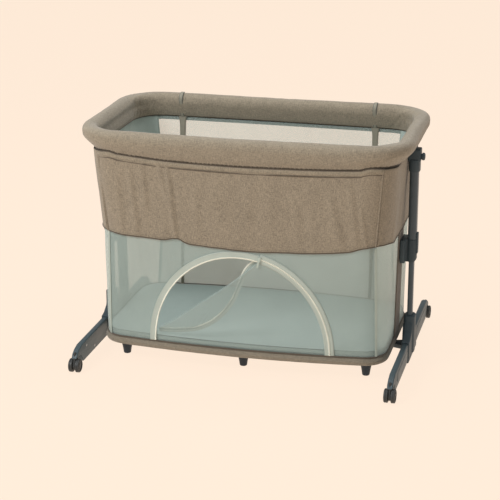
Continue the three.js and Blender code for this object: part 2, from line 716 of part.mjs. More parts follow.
function bracketNeck(margin) {
  const half = NECK_HALF + margin;
  const top = RIM_HEIGHT - RIM_TUBE_RADIUS - GAP + margin;
  const neck = block(-half, half, -half - 4, half + 4, OUTER_POST_TOP + BRACKET_SHOULDER, top);
  return neck.translate(RIM.halfLength - STAND_X, 0, 0);
}

function topBracket() {
  const bottom = OUTER_POST_TOP - BRACKET_LAP;
  const shoulder = OUTER_POST_TOP + BRACKET_SHOULDER;
  const depth = OUTER_POST.depth + 2 * BRACKET_SKIN;
  const corner = OUTER_POST.corner + BRACKET_SKIN;
  const socket = prism(roundedRectangle(BRACKET_WIDTH, depth, corner), bottom, shoulder + 6);
  return cut(
    joined(socket, bracketHead(0), bracketNeck(0)),
    bore(OUTER_POST, GAP, bottom - 5, OUTER_POST_TOP + GAP),
    rod('x', KNOB_RADIUS - 3 + GAP, 6, 40).translate(0, 0, KNOB_HEIGHT),
  );
}

function topKnob() {
  const face = BRACKET_HEAD_WIDTH / 2;
  const inner = 10;
  const start = face + 4;
  const end = face + KNOB_REACH;
  const profile = [
    [0, inner], [KNOB_RADIUS - 3, inner], [KNOB_RADIUS - 3, start], [KNOB_RADIUS, start],
    [KNOB_RADIUS, end - 5], [KNOB_RADIUS * 0.82, end - 2], [KNOB_RADIUS * 0.45, end - 0.4], [0, end],
  ];
  return turnedAboutX(profile, 14).translate(0, 0, KNOB_HEIGHT);
}

// ---------- Stand (drawn for the right-hand side, about the post's centre) ----------
function innerPost() {
  const holes = [];
  for (let step = 0; step <= HEIGHT_STEPS; step += 1) {
    const z = LATCH_HEIGHT + step * HEIGHT_PITCH;
    holes.push(rod('x', LATCH_PIN_RADIUS + GAP, 0, INNER_POST.width, 8).translate(0, 0, z));
  }
  return cut(tube(INNER_POST, POST_FOOT, INNER_POST_TOP), ...holes);
}

function hub() {
  const bottom = LEG.bottom - HUB_SKIN;
  const half = HUB_HALF_LENGTH;
  const cupHalf = INNER_POST.depth / 2 + HUB_CUP_WALL;
  const saddle = polygon([
    [-half, bottom], [half, bottom], [half, HUB_BACK], [half - 22, HUB_BACK + 5],
    [cupHalf + 9, HUB_BACK + 20], [cupHalf, HUB_BACK + 42],
    [-cupHalf, HUB_BACK + 42], [-cupHalf - 9, HUB_BACK + 20],
    [-half + 22, HUB_BACK + 5], [-half, HUB_BACK],
  ]);
  const body = sideSlab(saddle, LEG.width + 2 * HUB_SKIN, 2);
  const cup = prism(
    roundedRectangle(INNER_POST.width + 2 * HUB_CUP_WALL, 2 * cupHalf, INNER_POST.corner + HUB_CUP_WALL - 2),
    LEG.bottom + 6, HUB_CUP_TOP, 3,
  );
  const socket = block(
    -LEG.width / 2 - GAP, LEG.width / 2 + GAP, half - HUB_LAP, half + 5, LEG.bottom - GAP, LEG.top + GAP,
  );
  return cut(
    joined(body, cup, ledge()),
    bore(INNER_POST, GAP, POST_FOOT - GAP, HUB_CUP_TOP + 5),
    socket, socket.clone().rotateZ(Math.PI),
  );
}

// A half leg from inside the hub out to the nose over its caster, drawn towards +Y.
function halfLeg() {
  const inner = HUB_HALF_LENGTH - HUB_LAP + GAP;
  const nose = WHEEL_Y + NOSE_REACH;
  const underNose = CASTER_TOP + GAP;
  const swing = Math.hypot(WHEEL_RADIUS, CASTER_CORE / 2 + WHEEL_WIDTH + GAP) + 2;
  const shape = new THREE.Shape();
  shape.moveTo(inner, LEG.bottom);
  shape.lineTo(WHEEL_Y - 52, LEG.bottom);
  shape.quadraticCurveTo(WHEEL_Y - 46, LEG.bottom + 2, WHEEL_Y - swing - 6, underNose - 10);
  shape.quadraticCurveTo(WHEEL_Y - swing - 2, underNose, WHEEL_Y - swing + 4, underNose);
  shape.lineTo(nose, underNose);
  shape.quadraticCurveTo(nose - 3, LEG.top - 8, WHEEL_Y - 40, LEG.top);
  shape.lineTo(inner, LEG.top);
  const stemBore = rod('z', CASTER_STEM_RADIUS + GAP, 0, underNose + CASTER_STEM_LENGTH + 1, 14);
  return cut(sideSlab(shape, LEG.width, LEG.bevel), stemBore.translate(0, WHEEL_Y, 0));
}

// The angled ledge on the hub's inner side; the basket's base comes down to just above it.
function ledge() {
  const root = -LEG.width / 2;
  const face = root - HUB_SKIN;
  const top = BAND_BOTTOM - 2;
  const bottom = top - LEDGE_THICKNESS;
  const narrow = LEDGE_HALF_WIDTH * 0.5;
  const shelf = prism(polygon([
    [root, -LEDGE_HALF_WIDTH], [root, LEDGE_HALF_WIDTH],
    [face - LEDGE_DEPTH, narrow], [face - LEDGE_DEPTH, -narrow],
  ]), bottom, top);
  const cheek = sideSlab(polygon([
    [-LEDGE_HALF_WIDTH, bottom], [LEDGE_HALF_WIDTH, bottom],
    [18, HUB_BACK + 34], [-18, HUB_BACK + 34],
  ]), 12).translate(face, 0, 0);
  return joined(shelf, cheek);
}

function casterBody() {
  const hood = new THREE.Shape();
  const radius = WHEEL_RADIUS - 5;
  hood.absarc(0, WHEEL_RADIUS, radius, Math.PI * 0.75, Math.PI * 2.25, false);
  hood.lineTo(6, CASTER_TOP - 1);
  hood.lineTo(-6, CASTER_TOP - 1);
  const core = sideSlab(hood, CASTER_CORE, 1);
  const plate = rod('z', 9, CASTER_TOP - 2, CASTER_TOP);
  const stem = rod('z', CASTER_STEM_RADIUS, CASTER_TOP - 1, CASTER_TOP + CASTER_STEM_LENGTH, 10);
  const axleBore = rod('x', AXLE_RADIUS + GAP, -20, 20, 10).translate(0, 0, WHEEL_RADIUS);
  return cut(joined(core, plate, stem), axleBore);
}

// One wheel with its half of the axle, drawn on the +X side of the caster body.
function wheel() {
  const inner = CASTER_CORE / 2 + GAP;
  const outer = inner + WHEEL_WIDTH;
  const r = WHEEL_RADIUS;
  const profile = [
    [0, 0.2], [AXLE_RADIUS, 0.2], [AXLE_RADIUS, inner], [r - 2, inner], [r, inner + 2.5],
    [r, outer - 4], [r - 4, outer], [r - 7, outer - 2], [0, outer - 2],
  ];
  return turnedAboutX(profile, 20).translate(0, 0, WHEEL_RADIUS);
}

// ---------- Assembly ----------
function mesh(name, geometry, material) {
  const piece = new THREE.Mesh(geometry, material);
  piece.name = name;
  return piece;
}

function basket() {
  const group = new THREE.Group();
  group.add(mesh('rim_frame_tube', frameTube(RIM, RIM_HEIGHT, RIM_TUBE_RADIUS), greyTube));
  group.add(mesh('rim_padding', rimPadding(), brownFabric));
  group.add(mesh('front_mesh_wall', frontMesh(), meshFabric));
  const wall = (range) => panel(...range, WALL_BOTTOM, WALL_TOP, 0, WALL_THICKNESS);
  group.add(mesh('back_mesh_wall', wall(BACK), meshFabric));
  group.add(mesh('right_mesh_wall', wall(RIGHT_END), meshFabric));
  group.add(mesh('left_mesh_wall', wall(LEFT_END), meshFabric));
  const skirt = (range) => panel(...range, HEM_HEIGHT, WALL_TOP, SKIRT_OUTWARD, SKIRT_THICKNESS);
  group.add(mesh('front_skirt', skirt(FRONT), brownFabric));
  group.add(mesh('right_skirt', skirt(RIGHT_END), brownFabric));
  group.add(mesh('left_skirt', skirt(LEFT_END), brownFabric));
  group.add(mesh('door_panel', doorPanel(), meshFabric));
  group.add(mesh('door_flap', doorFlap(), meshFabric));
  group.add(mesh('door_zip_tape', doorTape(), paleTape));
  group.add(mesh('door_zip_slider', doorSlider(), paleTape));
  group.add(mesh('right_end_strip', endStrip(2), brownFabric));
  group.add(mesh('left_end_strip', endStrip(6), brownFabric));
  group.add(mesh('back_strap_left', backStrap(-STRAP_X), brownFabric));
  group.add(mesh('back_strap_right', backStrap(STRAP_X), brownFabric));
  group.add(mesh('base_frame_tube', frameTube(BASE, BASE_HEIGHT, BASE_TUBE_RADIUS), greyTube));
  group.add(mesh('base_band', baseBand(), brownFabric));
  const boardOutline = grown(BASE, -BAND_RADIUS - 1);
  group.add(mesh('floor_board', prismOfOutline(boardOutline, BOARD_BOTTOM, BOARD_TOP), boardFinish));
  const mattressOutline = grown(WALL_BASE_OUTLINE, -WALL_THICKNESS - 1);
  group.add(mesh('mattress', prismOfOutline(mattressOutline, MATTRESS_BOTTOM, MATTRESS_TOP), matFabric));
  const footX = BASE.halfLength - FOOT_INSET_LENGTH;
  const footY = BASE.halfWidth - FOOT_INSET_WIDTH;
  const middleY = BASE.halfWidth - FOOT_INSET_MIDDLE;
  const feet = [
    ['front_left', -footX, -footY], ['front_middle', 0, -middleY], ['front_right', footX, -footY],
    ['back_left', -footX, footY], ['back_middle', 0, middleY], ['back_right', footX, footY],
  ];
  for (const [place, x, y] of feet) {
    const piece = mesh(`foot_${place}`, foot(), darkPlastic);
    piece.position.set(x, y, 0);
    group.add(piece);
  }
  return group;
}

function basketPost(side) {
  const group = new THREE.Group();
  group.add(mesh(`outer_post_${side}`, outerPost(), greyTube));
  group.add(mesh(`collar_${side}`, collar(), greyPlastic));
  group.add(mesh(`release_lever_${side}`, releaseLever(), greyPlastic));
  group.add(mesh(`latch_pin_${side}`, latchPin(), steel));
  group.add(mesh(`top_bracket_${side}`, topBracket(), greyPlastic));
  group.add(mesh(`top_knob_${side}`, topKnob(), greyPlastic));
  return group;
}

function caster(place) {
  const group = new THREE.Group();
  group.add(mesh(`caster_body_${place}`, casterBody(), wheelPlastic));
  group.add(mesh(`wheel_outer_${place}`, wheel(), wheelPlastic));
  const inner = mesh(`wheel_inner_${place}`, wheel(), wheelPlastic);
  inner.rotation.z = Math.PI;
  group.add(inner);
  return group;
}

function stand(side, nearEnd, farEnd) {
  const group = new THREE.Group();
  group.add(mesh(`inner_post_${side}`, innerPost(), greyTube));
  group.add(mesh(`hub_${side}`, hub(), greyPlastic));
  for (const [end, turn] of [[farEnd, 0], [nearEnd, Math.PI]]) {
    const leg = mesh(`leg_${end}_${side}`, halfLeg(), greyPlastic);
    leg.rotation.z = turn;
    group.add(leg);
    const wheels = caster(`${end}_${side}`);
    wheels.position.y = turn ? -WHEEL_Y : WHEEL_Y;
    group.add(wheels);
  }
  return group;
}

const bassinet = new THREE.Group();
bassinet.add(basket());
const sides = [['right', 0, 'front', 'back'], ['left', Math.PI, 'back', 'front']];
for (const [side, turn, nearEnd, farEnd] of sides) {
  for (const group of [basketPost(side), stand(side, nearEnd, farEnd)]) {
    group.rotation.z = turn;
    group.position.x = turn ? -STAND_X : STAND_X;
    bassinet.add(group);
  }
}

export default bassinet;
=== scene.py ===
"""Looks of the bassinet on its two stands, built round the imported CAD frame.

Metres. +X along the basket, +Y to the back, +Z up. Places come from the CAD nodes' boxes.
A station is a place round an outline seen from above: 0 to 1 is the front side, 1 to 2 the
front right corner, 2 to 3 the right end, and so on, counter-clockwise, up to 8.
"""
import json
import math

import bmesh
import bpy
import numpy as np
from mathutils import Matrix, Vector, noise

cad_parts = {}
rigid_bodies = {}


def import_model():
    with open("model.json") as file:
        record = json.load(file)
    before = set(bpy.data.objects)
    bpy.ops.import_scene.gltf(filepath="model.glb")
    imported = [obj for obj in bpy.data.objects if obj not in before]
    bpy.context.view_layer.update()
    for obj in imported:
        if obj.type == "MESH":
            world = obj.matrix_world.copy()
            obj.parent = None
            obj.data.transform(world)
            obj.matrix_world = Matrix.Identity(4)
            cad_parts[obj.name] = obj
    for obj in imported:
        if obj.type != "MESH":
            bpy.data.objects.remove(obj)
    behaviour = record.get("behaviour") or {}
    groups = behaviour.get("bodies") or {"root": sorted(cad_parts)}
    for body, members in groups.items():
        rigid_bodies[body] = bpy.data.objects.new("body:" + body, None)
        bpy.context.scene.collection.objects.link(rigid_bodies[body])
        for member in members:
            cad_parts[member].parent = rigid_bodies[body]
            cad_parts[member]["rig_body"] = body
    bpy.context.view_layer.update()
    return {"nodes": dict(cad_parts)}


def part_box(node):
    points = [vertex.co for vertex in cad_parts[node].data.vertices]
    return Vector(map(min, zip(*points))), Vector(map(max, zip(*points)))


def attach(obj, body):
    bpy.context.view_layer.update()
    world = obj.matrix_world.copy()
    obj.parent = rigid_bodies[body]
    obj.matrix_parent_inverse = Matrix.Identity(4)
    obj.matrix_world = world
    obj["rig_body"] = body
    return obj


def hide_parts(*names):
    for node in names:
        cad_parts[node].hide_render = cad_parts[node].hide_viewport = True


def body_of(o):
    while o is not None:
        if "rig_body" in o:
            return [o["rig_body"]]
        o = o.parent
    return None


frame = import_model()
MM = 0.001

# ---------- Sizes taken from the CAD boxes ----------
TUBE_LOW, TUBE_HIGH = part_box("rim_frame_tube")
TUBE_R = (TUBE_HIGH.z - TUBE_LOW.z) / 2
RIM_Z = (TUBE_HIGH.z + TUBE_LOW.z) / 2
BASE_LOW, BASE_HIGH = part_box("base_frame_tube")
BASE_R = (BASE_HIGH.z - BASE_LOW.z) / 2
BASE_Z = (BASE_HIGH.z + BASE_LOW.z) / 2
BAND_LOW, BAND_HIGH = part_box("base_band")
BAND_R = (BAND_HIGH.z - BAND_LOW.z) / 2
Z_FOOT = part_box("back_mesh_wall")[0].z
Z_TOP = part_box("back_mesh_wall")[1].z
Z_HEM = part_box("front_skirt")[0].z
SKIRT_OUT = 2.9 * MM
TOP_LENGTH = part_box("right_skirt")[1].x - SKIRT_OUT
HEM_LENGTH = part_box("right_end_strip")[1].x - 1.9 * MM
MAT_LOW, MAT_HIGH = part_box("mattress")
STAND_X = (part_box("outer_post_right")[0].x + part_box("outer_post_right")[1].x) / 2

SAMPLES = 128                   # of an outline, to a station

# Panels meet at these stations.
FRONT = (-0.45, 1.45)
RIGHT = (1.45, 3.75)
BACK = (3.75, 5.25)
LEFT = (5.25, 7.55)


# ---------- Outlines ----------
class Ring:
    """An outline seen from above: half sizes, corner radius and the long sides' bulge.

    Its table has rows of (x, y, outward x, outward y), blurred so that the corners ease in.
    """

    def __init__(self, half_length, half_width, corner, bow, blur=9 * MM):
        s = np.arange(0, 8, 1 / SAMPLES)
        stretch = np.floor(s).astype(int)
        along = s - stretch
        cx = half_length - corner
        cy = half_width - bow - corner
        side = np.where(stretch == 0, -1.0, 1.0)
        lx = -side * cx * (2 * along - 1)
        ly = side * (cy + corner + bow * (1 - (lx / cx) ** 2))
        end = np.where(stretch == 2, 1.0, -1.0)
        ex = end * half_length
        ey = end * cy * (2 * along - 1)
        angle = ((stretch - 1) / 2 + along - 1) * math.pi / 2
        qx = np.where(stretch < 4, 1.0, -1.0)
        qy = np.where((stretch == 3) | (stretch == 5), 1.0, -1.0)
        kx = qx * cx + corner * np.cos(angle)
        ky = qy * cy + corner * np.sin(angle)
        x = np.where(stretch % 4 == 0, lx, np.where(stretch % 4 == 2, ex, kx))
        y = np.where(stretch % 4 == 0, ly, np.where(stretch % 4 == 2, ey, ky))
        step = np.hypot(np.roll(x, -1) - x, np.roll(y, -1) - y)
        weight = (step + np.roll(step, 1)) / 2
        arc = np.concatenate([[0], np.cumsum(step)])
        total = arc[-1]
        d = np.abs(arc[:-1, None] - arc[None, :-1])
        d = np.minimum(d, total - d)
        w = np.exp(-0.5 * (d / blur) ** 2) * weight[None, :]
        w /= w.sum(axis=1, keepdims=True)
        x = w @ x
        y = w @ y
        tx = np.roll(x, -1) - np.roll(x, 1)
        ty = np.roll(y, -1) - np.roll(y, 1)
        size = np.hypot(tx, ty)
        table = np.stack([x, y, ty / size, -tx / size], -1)
        self.table = np.concatenate([table, table[:1]])
        self.s = np.concatenate([s, [8.0]])
        step = np.hypot(np.diff(self.table[:, 0]), np.diff(self.table[:, 1]))
        self.arc = np.concatenate([[0], np.cumsum(step)])
        self.cx = cx

    def at(self, s):
        s = np.mod(s, 8.0)
        return np.stack([np.interp(s, self.s, self.table[:, k]) for k in range(4)], -1)

    def even(self, start, end, pitch):
        """Stations from start to end, a pitch apart along the outline."""
        a = math.floor(start / 8) * self.arc[-1] + np.interp(start % 8, self.s, self.arc)
        b = math.floor(end / 8) * self.arc[-1] + np.interp(end % 8, self.s, self.arc)
        n = max(2, int(round((b - a) / pitch)))
        t = np.linspace(a, b, n + 1)
        turns = np.floor(t / self.arc[-1])
        s = turns * 8 + np.interp(t - turns * self.arc[-1], self.arc, self.s)
        s[0], s[-1] = start, end
        return s


RIM_WIDTH = TUBE_HIGH.y - TUBE_R
RIM = Ring(TUBE_HIGH.x - TUBE_R, RIM_WIDTH, corner=110 * MM, bow=4 * MM)
BASE_SIZE = (BASE_HIGH.x - BASE_R, BASE_HIGH.y - BASE_R)
BASE = Ring(*BASE_SIZE, corner=62 * MM, bow=22 * MM)
FOOT_OUT = 7 * MM               # the wall's foot outside the base tube's centre line
FOOT_RING = Ring(BASE_SIZE[0] + FOOT_OUT, BASE_SIZE[1] + FOOT_OUT, corner=69 * MM, bow=22 * MM)
HEM_RING = Ring(HEM_LENGTH, RIM_WIDTH - 1 * MM, corner=104 * MM, bow=14 * MM)
TOP_RING = Ring(TOP_LENGTH, RIM_WIDTH, corner=88 * MM, bow=4 * MM)


def outward(q, out, z):
    """Points at height z, moved outward from an outline's rows."""
    x, y = (q[..., k] + q[..., k + 2] * out for k in (0, 1))
    return np.stack([x, y, np.broadcast_to(z, x.shape)], -1)


def wall(s, z, out=0.0):
    """The mesh wall's outside at a station and a height, moved outward."""
    s, z, out = np.broadcast_arrays(np.asarray(s, float), np.asarray(z, float), out)
    foot, hem, top = FOOT_RING.at(s), HEM_RING.at(s), TOP_RING.at(s)
    low = np.clip((z - Z_FOOT) / (Z_HEM - Z_FOOT), -0.2, 1.0)[..., None]
    high = np.clip((z - Z_HEM) / (Z_TOP - Z_HEM), 0.0, 1.1)[..., None]
    q = np.where(z[..., None] < Z_HEM, foot + (hem - foot) * low, hem + (top - hem) * high)
    return outward(q, out, z)


def front_station(x, z):
    """The station at which the front or the back wall passes x."""
    z = np.asarray(z, float)
    low = np.clip((z - Z_FOOT) / (Z_HEM - Z_FOOT), 0, 1)
    high = np.clip((z - Z_HEM) / (Z_TOP - Z_HEM), 0, 1)
    cx = FOOT_RING.cx + (HEM_RING.cx - FOOT_RING.cx) * low + (TOP_RING.cx - HEM_RING.cx) * high
    return 0.5 + np.asarray(x, float) / (2 * cx)


def curve(x, points):
    """A smooth line through (x, value) points, in millimetres on both sides."""
    p = np.array(points, float) * MM
    order = np.argsort(p[:, 0])
    px, py = p[order, 0], p[order, 1]
    slope = np.gradient(py, px)
    x = np.clip(np.asarray(x, float), px[0], px[-1])
    i = np.clip(np.searchsorted(px, x) - 1, 0, len(px) - 2)
    h = px[i + 1] - px[i]
    t = (x - px[i]) / h
    a, b = 2 * t ** 3 - 3 * t ** 2 + 1, t ** 3 - 2 * t ** 2 + t
    return a * py[i] + b * h * slope[i] + (1 - a) * py[i + 1] + (t ** 3 - t ** 2) * h * slope[i + 1]


def roughness(points, size, seed=0.0):
    """Smooth noise from -1 to 1 at each point, with features of that size."""
    flat = np.asarray(points).reshape(-1, 3) / size + seed
    values = np.fromiter((noise.noise(Vector(p)) for p in flat), float, len(flat))
    return values.reshape(np.asarray(points).shape[:-1])


def unit(vectors):
    return vectors / np.linalg.norm(vectors, axis=-1, keepdims=True)


# ---------- Node graphs ----------
class Graph:
    """A procedural material and short calls that add its nodes."""

    def __init__(self, name):
        self.material = bpy.data.materials.new(name)
        self.material.use_nodes = True
        self.tree = self.material.node_tree
        self.shader = self.tree.nodes["Principled BSDF"]

    def add(self, kind, props=None, **inputs):
        node = self.tree.nodes.new("ShaderNode" + kind)
        for key, value in (props or {}).items():
            setattr(node, key, value)
        for key, value in inputs.items():
            self.feed(node.inputs[key.replace("_", " ")], value)
        return node

    def feed(self, socket, value):
        if isinstance(value, bpy.types.NodeSocket):
            self.tree.links.new(value, socket)
        elif isinstance(value, bpy.types.Node):
            self.tree.links.new(value.outputs[0], socket)
        else:
            socket.default_value = value

    def math(self, operation, a, b=0.0):
        node = self.add("Math", {"operation": operation})
        for socket, value in zip(node.inputs, (a, b)):
            self.feed(socket, value)
        return node.outputs[0]

    def plus(self, a, b):
        return self.math("ADD", a, b)

    def times(self, a, b):
        return self.math("MULTIPLY", a, b)

    def mix(self, share, a, b):
        node = self.tree.nodes.new("ShaderNodeMix")
        node.data_type = "RGBA"
        self.feed(node.inputs[0], share)
        self.feed(node.inputs[6], a)
        self.feed(node.inputs[7], b)
        return node.outputs[2]

    def scaled(self, vector, x, y, z=1.0):
        node = self.add("Mapping", None, Vector=vector)
        node.inputs["Scale"].default_value = (x, y, z)
        return node.outputs[0]

    def noise(self, vector, scale, detail=2.0, rough=0.5):
        node = self.add("TexNoise", None, Vector=vector, Scale=scale, Detail=detail, Roughness=rough)
        return node.outputs["Fac"]

    def spread(self, value, low, high, to_low=0.0, to_high=1.0):
        node = self.add("MapRange")
        for socket, v in zip(node.inputs, (value, low, high, to_low, to_high)):
            self.feed(socket, v)
        return node.outputs[0]

    def place(self):
        return self.add("TexCoord").outputs["Object"]

    def cloth(self):
        return self.add("UVMap", {"uv_map": "cloth"}).outputs[0]

    def bump(self, height, strength, distance, normal=None):
        node = self.add("Bump", None, Height=height, Strength=strength, Distance=distance)
        if normal is not None:
            self.feed(node.inputs["Normal"], normal)
        return node.outputs[0]

    def set(self, **inputs):
        for key, value in inputs.items():
            self.feed(self.shader.inputs[key.replace("_", " ")], value)


def colour(r, g, b):
    """A colour given as 0-255 display values, as the linear value a shader takes."""
    linear = [((v / 255 + 0.055) / 1.055) ** 2.4 if v > 10 else v / 255 / 12.92 for v in (r, g, b)]
    return (*linear, 1.0)


def shade(c, gain):
    return (c[0] * gain, c[1] * gain, c[2] * gain, 1.0)


def waves(g, vector, pitch_u, pitch_v):
    parts = g.add("SeparateXYZ", None, Vector=vector)
    u = g.math("SINE", g.times(parts.outputs[0], 2 * math.pi / pitch_u))
    v = g.math("SINE", g.times(parts.outputs[1], 2 * math.pi / pitch_v))
    return u, v


def woven(name, tone, thread=1.1 * MM, contrast=0.22, weave=0.5, sheen=0.25, rough=0.88):
    """Melange cloth: threads both ways, slubs along them, mottling and a soft sheen."""
    g = Graph(name)
    uv = g.cloth()
    place = g.place()
    warp = g.noise(g.scaled(uv, 1 / thread, 0.07 / thread), 1.0, 1.0)
    weft = g.noise(g.scaled(uv, 0.07 / thread, 1 / thread), 1.0, 1.0)
    speckle = g.noise(g.scaled(place, 380.0, 380.0, 240.0), 1.0, 3.0, 0.75)
    cloud = g.noise(place, 22.0, 3.0, 0.6)
    mixed = g.plus(g.times(g.plus(warp, weft), 0.3),
                   g.plus(g.times(speckle, 0.55), g.times(cloud, 0.1)))
    share = g.spread(mixed, 0.5, 0.76)
    g.set(Base_Color=g.mix(share, shade(tone, 1 - contrast), shade(tone, 1 + contrast)))
    u, v = waves(g, uv, 2 * thread, 2 * thread)
    cross = g.times(u, v)
    height = g.plus(g.times(cross, 0.5), g.plus(warp, weft))
    g.set(Normal=g.bump(height, weave, 0.35 * MM, g.bump(cloud, 0.25, 2.5 * MM)))
    g.set(Roughness=g.spread(speckle, 0.3, 0.7, rough - 0.06, rough + 0.06))
    g.set(Sheen_Weight=sheen, Sheen_Roughness=0.55, Specular_IOR_Level=0.22)
    return g.material


def netting(name, tone, opacity=0.8, pitch=1.6 * MM, upper=None):
    """Warp-knitted mesh: rows of small holes, staggered, between soft threads.

    With `upper`, the mesh opens from `opacity` at the hem's height to `upper` under the rim.
    """
    g = Graph(name)
    uv = g.cloth()
    place = g.place()
    parts = g.add("SeparateXYZ", None, Vector=uv)
    a, b = parts.outputs[0], parts.outputs[1]
    left = g.math("SINE", g.times(g.plus(a, b), 2 * math.pi / pitch))
    right = g.math("SINE", g.times(g.math("SUBTRACT", a, b), 2 * math.pi / pitch))
    hole = g.times(g.plus(g.plus(left, right), 2.0), 0.25)
    closed = opacity
    if upper is not None:
        height = g.add("SeparateXYZ", None, Vector=place).outputs[2]
        closed = g.spread(height, Z_HEM - 0.03, Z_TOP - 0.1, opacity, upper)
    thread = g.spread(hole, 0.35, 0.65, 0.35, -0.35)
    alpha = g.math("MINIMUM", g.plus(closed, g.times(thread, 0.8)), 1.0)
    cloud = g.noise(place, 14.0, 2.0, 0.5)
    fibre = g.noise(g.scaled(uv, 900.0, 250.0), 1.0, 2.0)
    share = g.plus(g.times(cloud, 0.6), g.times(fibre, 0.4))
    g.set(Base_Color=g.mix(g.spread(share, 0.3, 0.7), shade(tone, 0.93), shade(tone, 1.06)))
    g.set(Alpha=alpha)
    g.set(Normal=g.bump(hole, 0.25, 0.3 * MM, g.bump(cloud, 0.2, 1.5 * MM)))
    g.set(Roughness=g.spread(fibre, 0.3, 0.7, 0.68, 0.82))
    g.set(Sheen_Weight=0.2, Specular_IOR_Level=0.3)
    return g.material


def ribbed(name, tone, pitch=1.2 * MM, contrast=0.12, rough=0.75, strength=0.5):
    """Woven tape or webbing, ribbed along its length, with a finer weft across."""
    g = Graph(name)
    uv = g.cloth()
    u, v = waves(g, uv, pitch, pitch * 0.55)
    grain = g.noise(g.place(), 600.0, 3.0, 0.65)
    soil = g.noise(g.place(), 30.0, 2.0, 0.5)
    share = g.plus(g.times(grain, 0.6), g.times(soil, 0.4))
    share = g.spread(share, 0.3, 0.7)
    g.set(Base_Color=g.mix(share, shade(tone, 1 - contrast), shade(tone, 1 + contrast)))
    height = g.plus(g.times(u, 0.35), g.times(v, 0.5))
    g.set(Normal=g.bump(height, strength, 0.25 * MM, g.bump(soil, 0.15, 1.0 * MM)))
    g.set(Roughness=g.spread(grain, 0.3, 0.7, rough - 0.07, rough + 0.07))
    g.set(Sheen_Weight=0.12, Specular_IOR_Level=0.3)
    return g.material


def moulded(name, tone, rough=0.5, grain=0.25, contrast=0.08, edge_highlight=0.35, metal=0.0, coat=0.0):
    """Satin plastic or powder coat: fine orange peel, faint smears, and sharp edges painted paler as a
    painted highlight.
    """
    g = Graph(name)
    place = g.place()
    peel = g.noise(place, 900.0, 3.0, 0.6)
    smear = g.noise(g.scaled(place, 8.0, 8.0, 26.0), 1.0, 4.0, 0.6)
    base = g.mix(g.spread(smear, 0.3, 0.7), shade(tone, 1 - contrast), shade(tone, 1 + contrast))
    # Sharp convex edges are painted paler: a painted highlight along the edges.
    sharp = g.add("NewGeometry").outputs["Pointiness"]
    edge_highlight_share = g.times(g.spread(sharp, 0.53, 0.62), g.spread(smear, 0.35, 0.6, 0.2, edge_highlight))
    g.set(Base_Color=g.mix(edge_highlight_share, base, shade(tone, 2.1)))
    g.set(Roughness=g.spread(smear, 0.3, 0.7, rough - 0.07, rough + 0.08))
    g.set(Normal=g.bump(peel, grain, 0.12 * MM))
    g.set(Metallic=metal, Coat_Weight=coat, Specular_IOR_Level=0.4)
    return g.material


def pressed_board(name):
    g = Graph(name)
    fibre = g.noise(g.scaled(g.place(), 60.0, 400.0, 60.0), 1.0, 4.0, 0.7)
    g.set(Base_Color=g.mix(fibre, colour(110, 92, 70), colour(160, 138, 108)))
    g.set(Roughness=g.spread(fibre, 0.3, 0.7, 0.75, 0.9), Normal=g.bump(fibre, 0.3, 0.3 * MM))
    return g.material


def brushed_steel(name):
    g = Graph(name)
    streak = g.noise(g.scaled(g.place(), 80.0, 900.0, 900.0), 1.0, 3.0, 0.6)
    g.set(Base_Color=g.mix(streak, colour(150, 152, 154), colour(196, 198, 200)))
    g.set(Roughness=g.spread(streak, 0.3, 0.7, 0.25, 0.42), Normal=g.bump(streak, 0.15, 0.05 * MM))
    g.set(Metallic=1.0)
    return g.material


def make_materials():
    return {
        "rim": woven("rim_cloth", colour(139, 129, 112), contrast=0.34),
        "skirt": woven("skirt_cloth", colour(138, 127, 110), contrast=0.36),
        "band": woven("band_cloth", colour(128, 120, 106), contrast=0.3),
        "strip": woven("strip_cloth", colour(98, 88, 76), contrast=0.2),
        "strap": ribbed("strap_webbing", colour(140, 136, 122), pitch=1.6 * MM),
        "piping": woven("piping_cloth", colour(88, 78, 66), thread=0.8 * MM, contrast=0.18),
        "binding": ribbed("mesh_binding", colour(170, 181, 172), pitch=1.2 * MM, contrast=0.06),
        "dark_edge": ribbed("dark_edging", colour(84, 90, 88), pitch=1.0 * MM),
        "thread": ribbed("sewing_thread", colour(112, 102, 86), pitch=0.5 * MM),
        "net": netting("mesh_cloth", colour(154, 169, 164), opacity=0.64),
        # The end walls' mesh is a brighter copy of the mesh colour, made near opaque up high: painted light
        # on their inner faces.
        "end_net_painted_light": netting("end_mesh_painted_light", colour(186, 200, 194), opacity=0.7, upper=0.97),
        "door": netting("door_mesh_cloth", colour(156, 172, 168), opacity=0.44),
        # The back wall's mesh is a brighter copy of the mesh colour: painted light from above on the windows.
        "window": netting("window_mesh_painted_light", colour(182, 196, 190), opacity=0.93, upper=0.5),
        "tape": ribbed("zip_tape", colour(176, 186, 178), pitch=1.0 * MM, contrast=0.06),
        "teeth": moulded("zip_teeth", colour(222, 222, 210), rough=0.4, contrast=0.05),
        # Dark cloth for the gap under the rim's bead: painted shade.
        "gap_shade": ribbed("zip_gap_painted_shade", colour(58, 52, 44), pitch=1.0 * MM),
        "mat": woven("mattress_knit", colour(158, 173, 168), thread=1.6 * MM, contrast=0.06, sheen=0.3),
        "tube": moulded("powder_coat", colour(62, 73, 80), rough=0.42, grain=0.3, coat=0.15),
        "plastic": moulded("slate_moulding", colour(55, 68, 75), rough=0.5),
        "collar": moulded("collar_moulding", colour(54, 65, 71), rough=0.48),
        "leg": moulded("leg_moulding", colour(66, 80, 86), rough=0.45, contrast=0.06),
        "foot": moulded("foot_moulding", colour(30, 41, 51), rough=0.5, edge_highlight=0.25),
        "wheel": moulded("wheel_moulding", colour(54, 56, 56), rough=0.5, edge_highlight=0.5),
        "steel": brushed_steel("steel_pin"),
        "board": pressed_board("floor_board_face"),
    }


# ---------- Mesh building ----------
SHARP = 32                      # degrees between faces from which an edge shows as an edge


def add_object(name, mesh, material, body="basket"):
    obj = bpy.data.objects.new(name, mesh)
    bpy.context.scene.collection.objects.link(obj)
    mesh.materials.clear()
    mesh.materials.append(material)
    mesh.polygons.foreach_set("use_smooth", [True] * len(mesh.polygons))
    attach(obj, body)
    return obj


